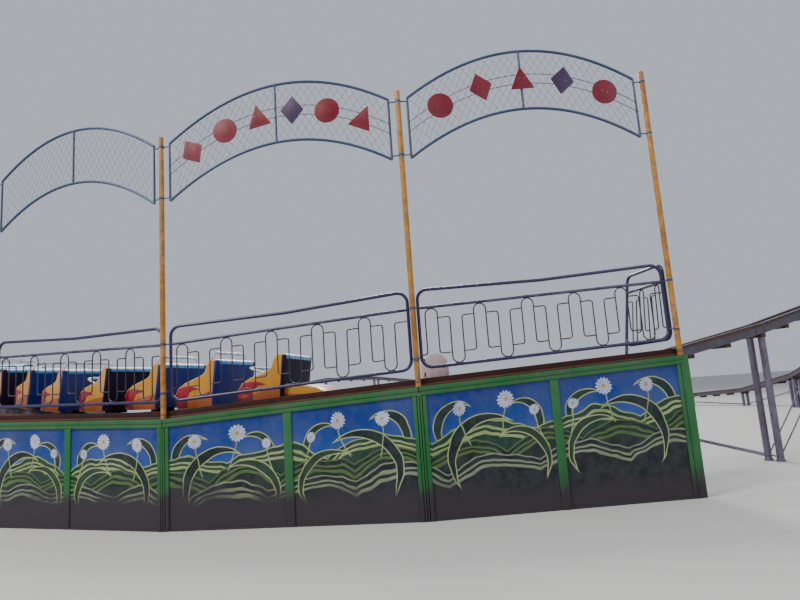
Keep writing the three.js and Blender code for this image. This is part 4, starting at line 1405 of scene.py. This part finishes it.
def makeBogieMesh(slopeCosine):
    look = bogieLook
    bm = bmesh.new()
    gauge = (ring["outerRail"] - ring["path"]) * math.cos(moduleAngle / 2) - look["railInset"]
    height = look["axleDrop"] * slopeCosine + look["axleLift"]
    for side in (1, -1):
        for inner, outer, radius, finish in look["wheels"]:
            ends = ((0, side * (gauge - inner), height), (0, side * (gauge - outer), height))
            addRod(bm, *ends, radius, look["wheelSides"], finish)
        hanger = side * (gauge - look["hangerInset"])
        addBox(bm, (-0.03, hanger - 0.012, height - 0.03), (0.03, hanger + 0.012, 0.07), bevel=0.004)
    reach = gauge - look["axleEnd"]
    addRod(bm, (0, -reach, height), (0, reach, height), look["axle"], 16)
    addBox(bm, (-0.055, -0.055, height - 0.018), (0.055, 0.055, 0.085), bevel=0.006)    # axle block
    addBox(bm, (-0.2, -0.035, 0.015), (0.2, 0.035, 0.062), bevel=0.006)    # spine under the floor
    return bm


# Cushions
channels = [-0.32, -0.215, -0.108, 0.0, 0.108, 0.215, 0.32]
cushionLook = {
    "roll": {
        "low": (-0.088, -0.45, 0.632), "high": (-0.01, 0.45, 0.706), "bevel": 0.032, "voxel": 0.009,
        "cap": 0.008, "seams": [-0.297, -0.148, 0.0, 0.148, 0.297], "core": (-0.048, 0.668), "depth": 0.007,
        "width": 0.012, "finish": "padVinyl", "fill": 0.8,
    },
    "back": {
        "low": (0.02, -0.43, 0.27), "high": (0.07, 0.43, 0.61), "bevel": 0.02, "voxel": 0.008,
        "cap": 0.01, "seams": channels, "core": (0.03, 0.44), "depth": 0.008,
        "width": 0.014, "finish": "seatVinyl", "fill": 0.7, "lean": 0.115,
    },
    "seat": {
        "low": (0.05, -0.43, 0.2), "high": (0.31, 0.43, 0.245), "bevel": 0.018, "voxel": 0.008,
        "cap": 0.01, "seams": channels, "core": (0.18, 0.2), "depth": 0.008,
        "width": 0.014, "finish": "seatVinyl", "fill": 0.7,
    },
}
stuffing = {"pressure": 4, "quality": 4, "frames": 20}


def voxelPad(name, look):
    bm = bmesh.new()
    addBox(bm, look["low"], look["high"], bevel=look["bevel"], segments=4)
    mesh = bpy.data.meshes.new(name)
    bm.to_mesh(mesh)
    bm.free()
    pad = bpy.data.objects.new(name, mesh)
    bpy.context.scene.collection.objects.link(pad)
    remesh = pad.modifiers.new("evenGrid", "REMESH")
    remesh.mode = "VOXEL"
    remesh.voxel_size = look["voxel"]
    bpy.context.view_layer.objects.active = pad
    with bpy.context.temp_override(object=pad, active_object=pad, selected_objects=[pad]):
        bpy.ops.object.modifier_apply(modifier=remesh.name)
    return pad


# The cover swells under pressure, but no point moves further than the cap
def inflate(pad, cap):
    rest = [vert.co.copy() for vert in pad.data.vertices]
    cloth = pad.modifiers.new("stuffing", "CLOTH")
    cloth.settings.use_pressure = True
    cloth.settings.uniform_pressure_force = stuffing["pressure"]
    cloth.settings.effector_weights.gravity = 0
    cloth.settings.quality = stuffing["quality"]
    scene = bpy.context.scene
    for step in range(1, stuffing["frames"] + 1):
        scene.frame_set(step)
    shaped = pad.evaluated_get(bpy.context.evaluated_depsgraph_get()).data
    places = [vert.co.copy() for vert in shaped.vertices]
    pad.modifiers.remove(cloth)
    for vert, before, after in zip(pad.data.vertices, rest, places):
        move = after - before
        vert.co = before + move.normalized() * min(move.length, cap) if move.length > 1e-7 else before
    scene.frame_set(1)


# Sewn channels: the cover is drawn in along each seam, and the seam is written as an attribute for the finish,
# which paints shade into each crease
def sewChannels(pad, look):
    core, width = look["core"], look["width"]
    seamShadeValues = []
    for vert in pad.data.vertices:
        near = min(abs(vert.co.y - seam) for seam in look["seams"])
        inward = Vector((core[0] - vert.co.x, 0, core[1] - vert.co.z))
        if inward.length > 1e-6:
            vert.co += inward.normalized() * look["depth"] * math.exp(-((near / width) ** 2))
        seamShadeValues.append(max(0.0, 1 - near / (width * 0.42)))
    attribute = pad.data.attributes.new("seam", "FLOAT", "POINT")
    attribute.data.foreach_set("value", seamShadeValues)


def makePad(kind):
    look = cushionLook[kind]
    pad = voxelPad(f"{kind}Form", look)
    inflate(pad, look["cap"])
    sewChannels(pad, look)
    for vert in pad.data.vertices:
        vert.co.x -= look.get("lean", 0.0) * (vert.co.z - look["low"][2])
    mesh = pad.data.copy()
    bpy.data.objects.remove(pad)
    return mesh


padMeshes = {kind: makePad(kind) for kind in cushionLook}
print("cushions shaped")


def placePad(kind, number, matrix, node):
    look = cushionLook[kind]
    name = f"{kind}Pad{number}"
    mesh = padMeshes[kind].copy()
    mesh.name = name
    mesh.transform(matrix)
    mesh.materials.clear()
    mesh.materials.append(finishes[look["finish"]])
    mesh.shade_smooth()
    pad = registerPiece(name, mesh, node, "root")
    if kind == "roll":
        smooth = pad.modifiers.new("softCover", "SUBSURF")
        smooth.levels = smooth.render_levels = 1


def makeRow(number):
    body, bogie = rowMatrix(number)
    purple = number % 3 == 1
    node = f"seat_row_{number}"
    shellFinishes = ["ochreShell", "flame", "rearLedgeShade", "frontLedgeShade", "darkSteel", "rimHighlight"]
    finishPiece(f"rowShell{number}", makeShellMesh(), shellFinishes, node, body, 45)
    backFinishes = ["purpleBack" if purple else "blueBack", "bolt"]
    finishPiece(f"rowBack{number}", makeBackMesh(), backFinishes, node, body, 45)
    for kind in cushionLook:
        placePad(kind, number, body, node)
    finishPiece(f"rowBogie{number}", makeBogieMesh(bogie[2][2]), ["darkSteel", "tyre"], node, bogie)
    if number == 1:
        finishPiece("tailCowl", makeCowlMesh(), ["ochreShell", "whiteCowl", "rearLedgeShade"], node, body, 45)
    angle = math.radians(rowLook["lowered"] if purple else rowLook["raised"])
    pivot = Matrix.Translation((rowLook["pivotForward"], 0, rowLook["pivotHeight"]))
    place = body @ pivot @ Matrix.Rotation(-angle, 4, "Y")
    bar = f"lap_bar_{number}"
    barFinishes = ["lapBar", "darkSteel", "lapBar"]
    finishPiece(f"lapBar{number}", makeLapBarMesh(), barFinishes, bar, place, 50, bar)


for rowNumber in range(1, rowLook["count"] + 1):
    makeRow(rowNumber)
print("train rows")


# Floor and soft light
studio = {
    "floor": 140, "floorTone": (226, 224, 220), "sky": (0.8, 0.87, 1.0), "skyStrength": 0.62,
    "lamps": {    # place, aim, size, energy and tint
        "keyLight": ((-11, -27, 20), (0, -12, 1.5), 8, 6500, (1, 0.97, 0.93)),
        "fillLight": ((22, -24, 14), (2, -12, 1.5), 14, 1800, (0.93, 0.96, 1)),
        "backLight": ((-4, 14, 22), (0, -12, 1), 10, 9000, (1, 0.98, 0.95)),
    },
}


def makeFloor():
    bm = bmesh.new()
    bmesh.ops.create_grid(bm, x_segments=2, y_segments=2, size=studio["floor"])
    mesh = bpy.data.meshes.new("paleFloor")
    bm.to_mesh(mesh)
    bm.free()
    floor = bpy.data.objects.new("paleFloor", mesh)
    bpy.context.scene.collection.objects.link(floor)
    material, _, shader = startMaterial("paleFloorFinish", 0.9)
    shader.inputs["Base Color"].default_value = srgb(*studio["floorTone"])
    mesh.materials.append(material)
    floor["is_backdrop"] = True


def makeLight():
    world = bpy.data.worlds.new("paleStudio")
    world.use_nodes = True
    background = next(node for node in world.node_tree.nodes if node.type == "BACKGROUND")
    background.inputs["Color"].default_value = (*studio["sky"], 1)
    background.inputs["Strength"].default_value = studio["skyStrength"]
    bpy.context.scene.world = world
    for name, (place, aim, size, energy, tint) in studio["lamps"].items():
        lamp = bpy.data.lights.new(name, "AREA")
        lamp.size = size
        lamp.energy = energy
        lamp.color = tint
        holder = bpy.data.objects.new(name, lamp)
        holder.location = place
        holder.rotation_euler = (Vector(aim) - Vector(place)).to_track_quat("-Z", "Y").to_euler()
        bpy.context.scene.collection.objects.link(holder)


makeFloor()
makeLight()
print("studio")

plain = lambda bounds: [[float(value) for value in corner] for corner in bounds]
{"cad": plain(cadBounds), "visual": plain(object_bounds())}
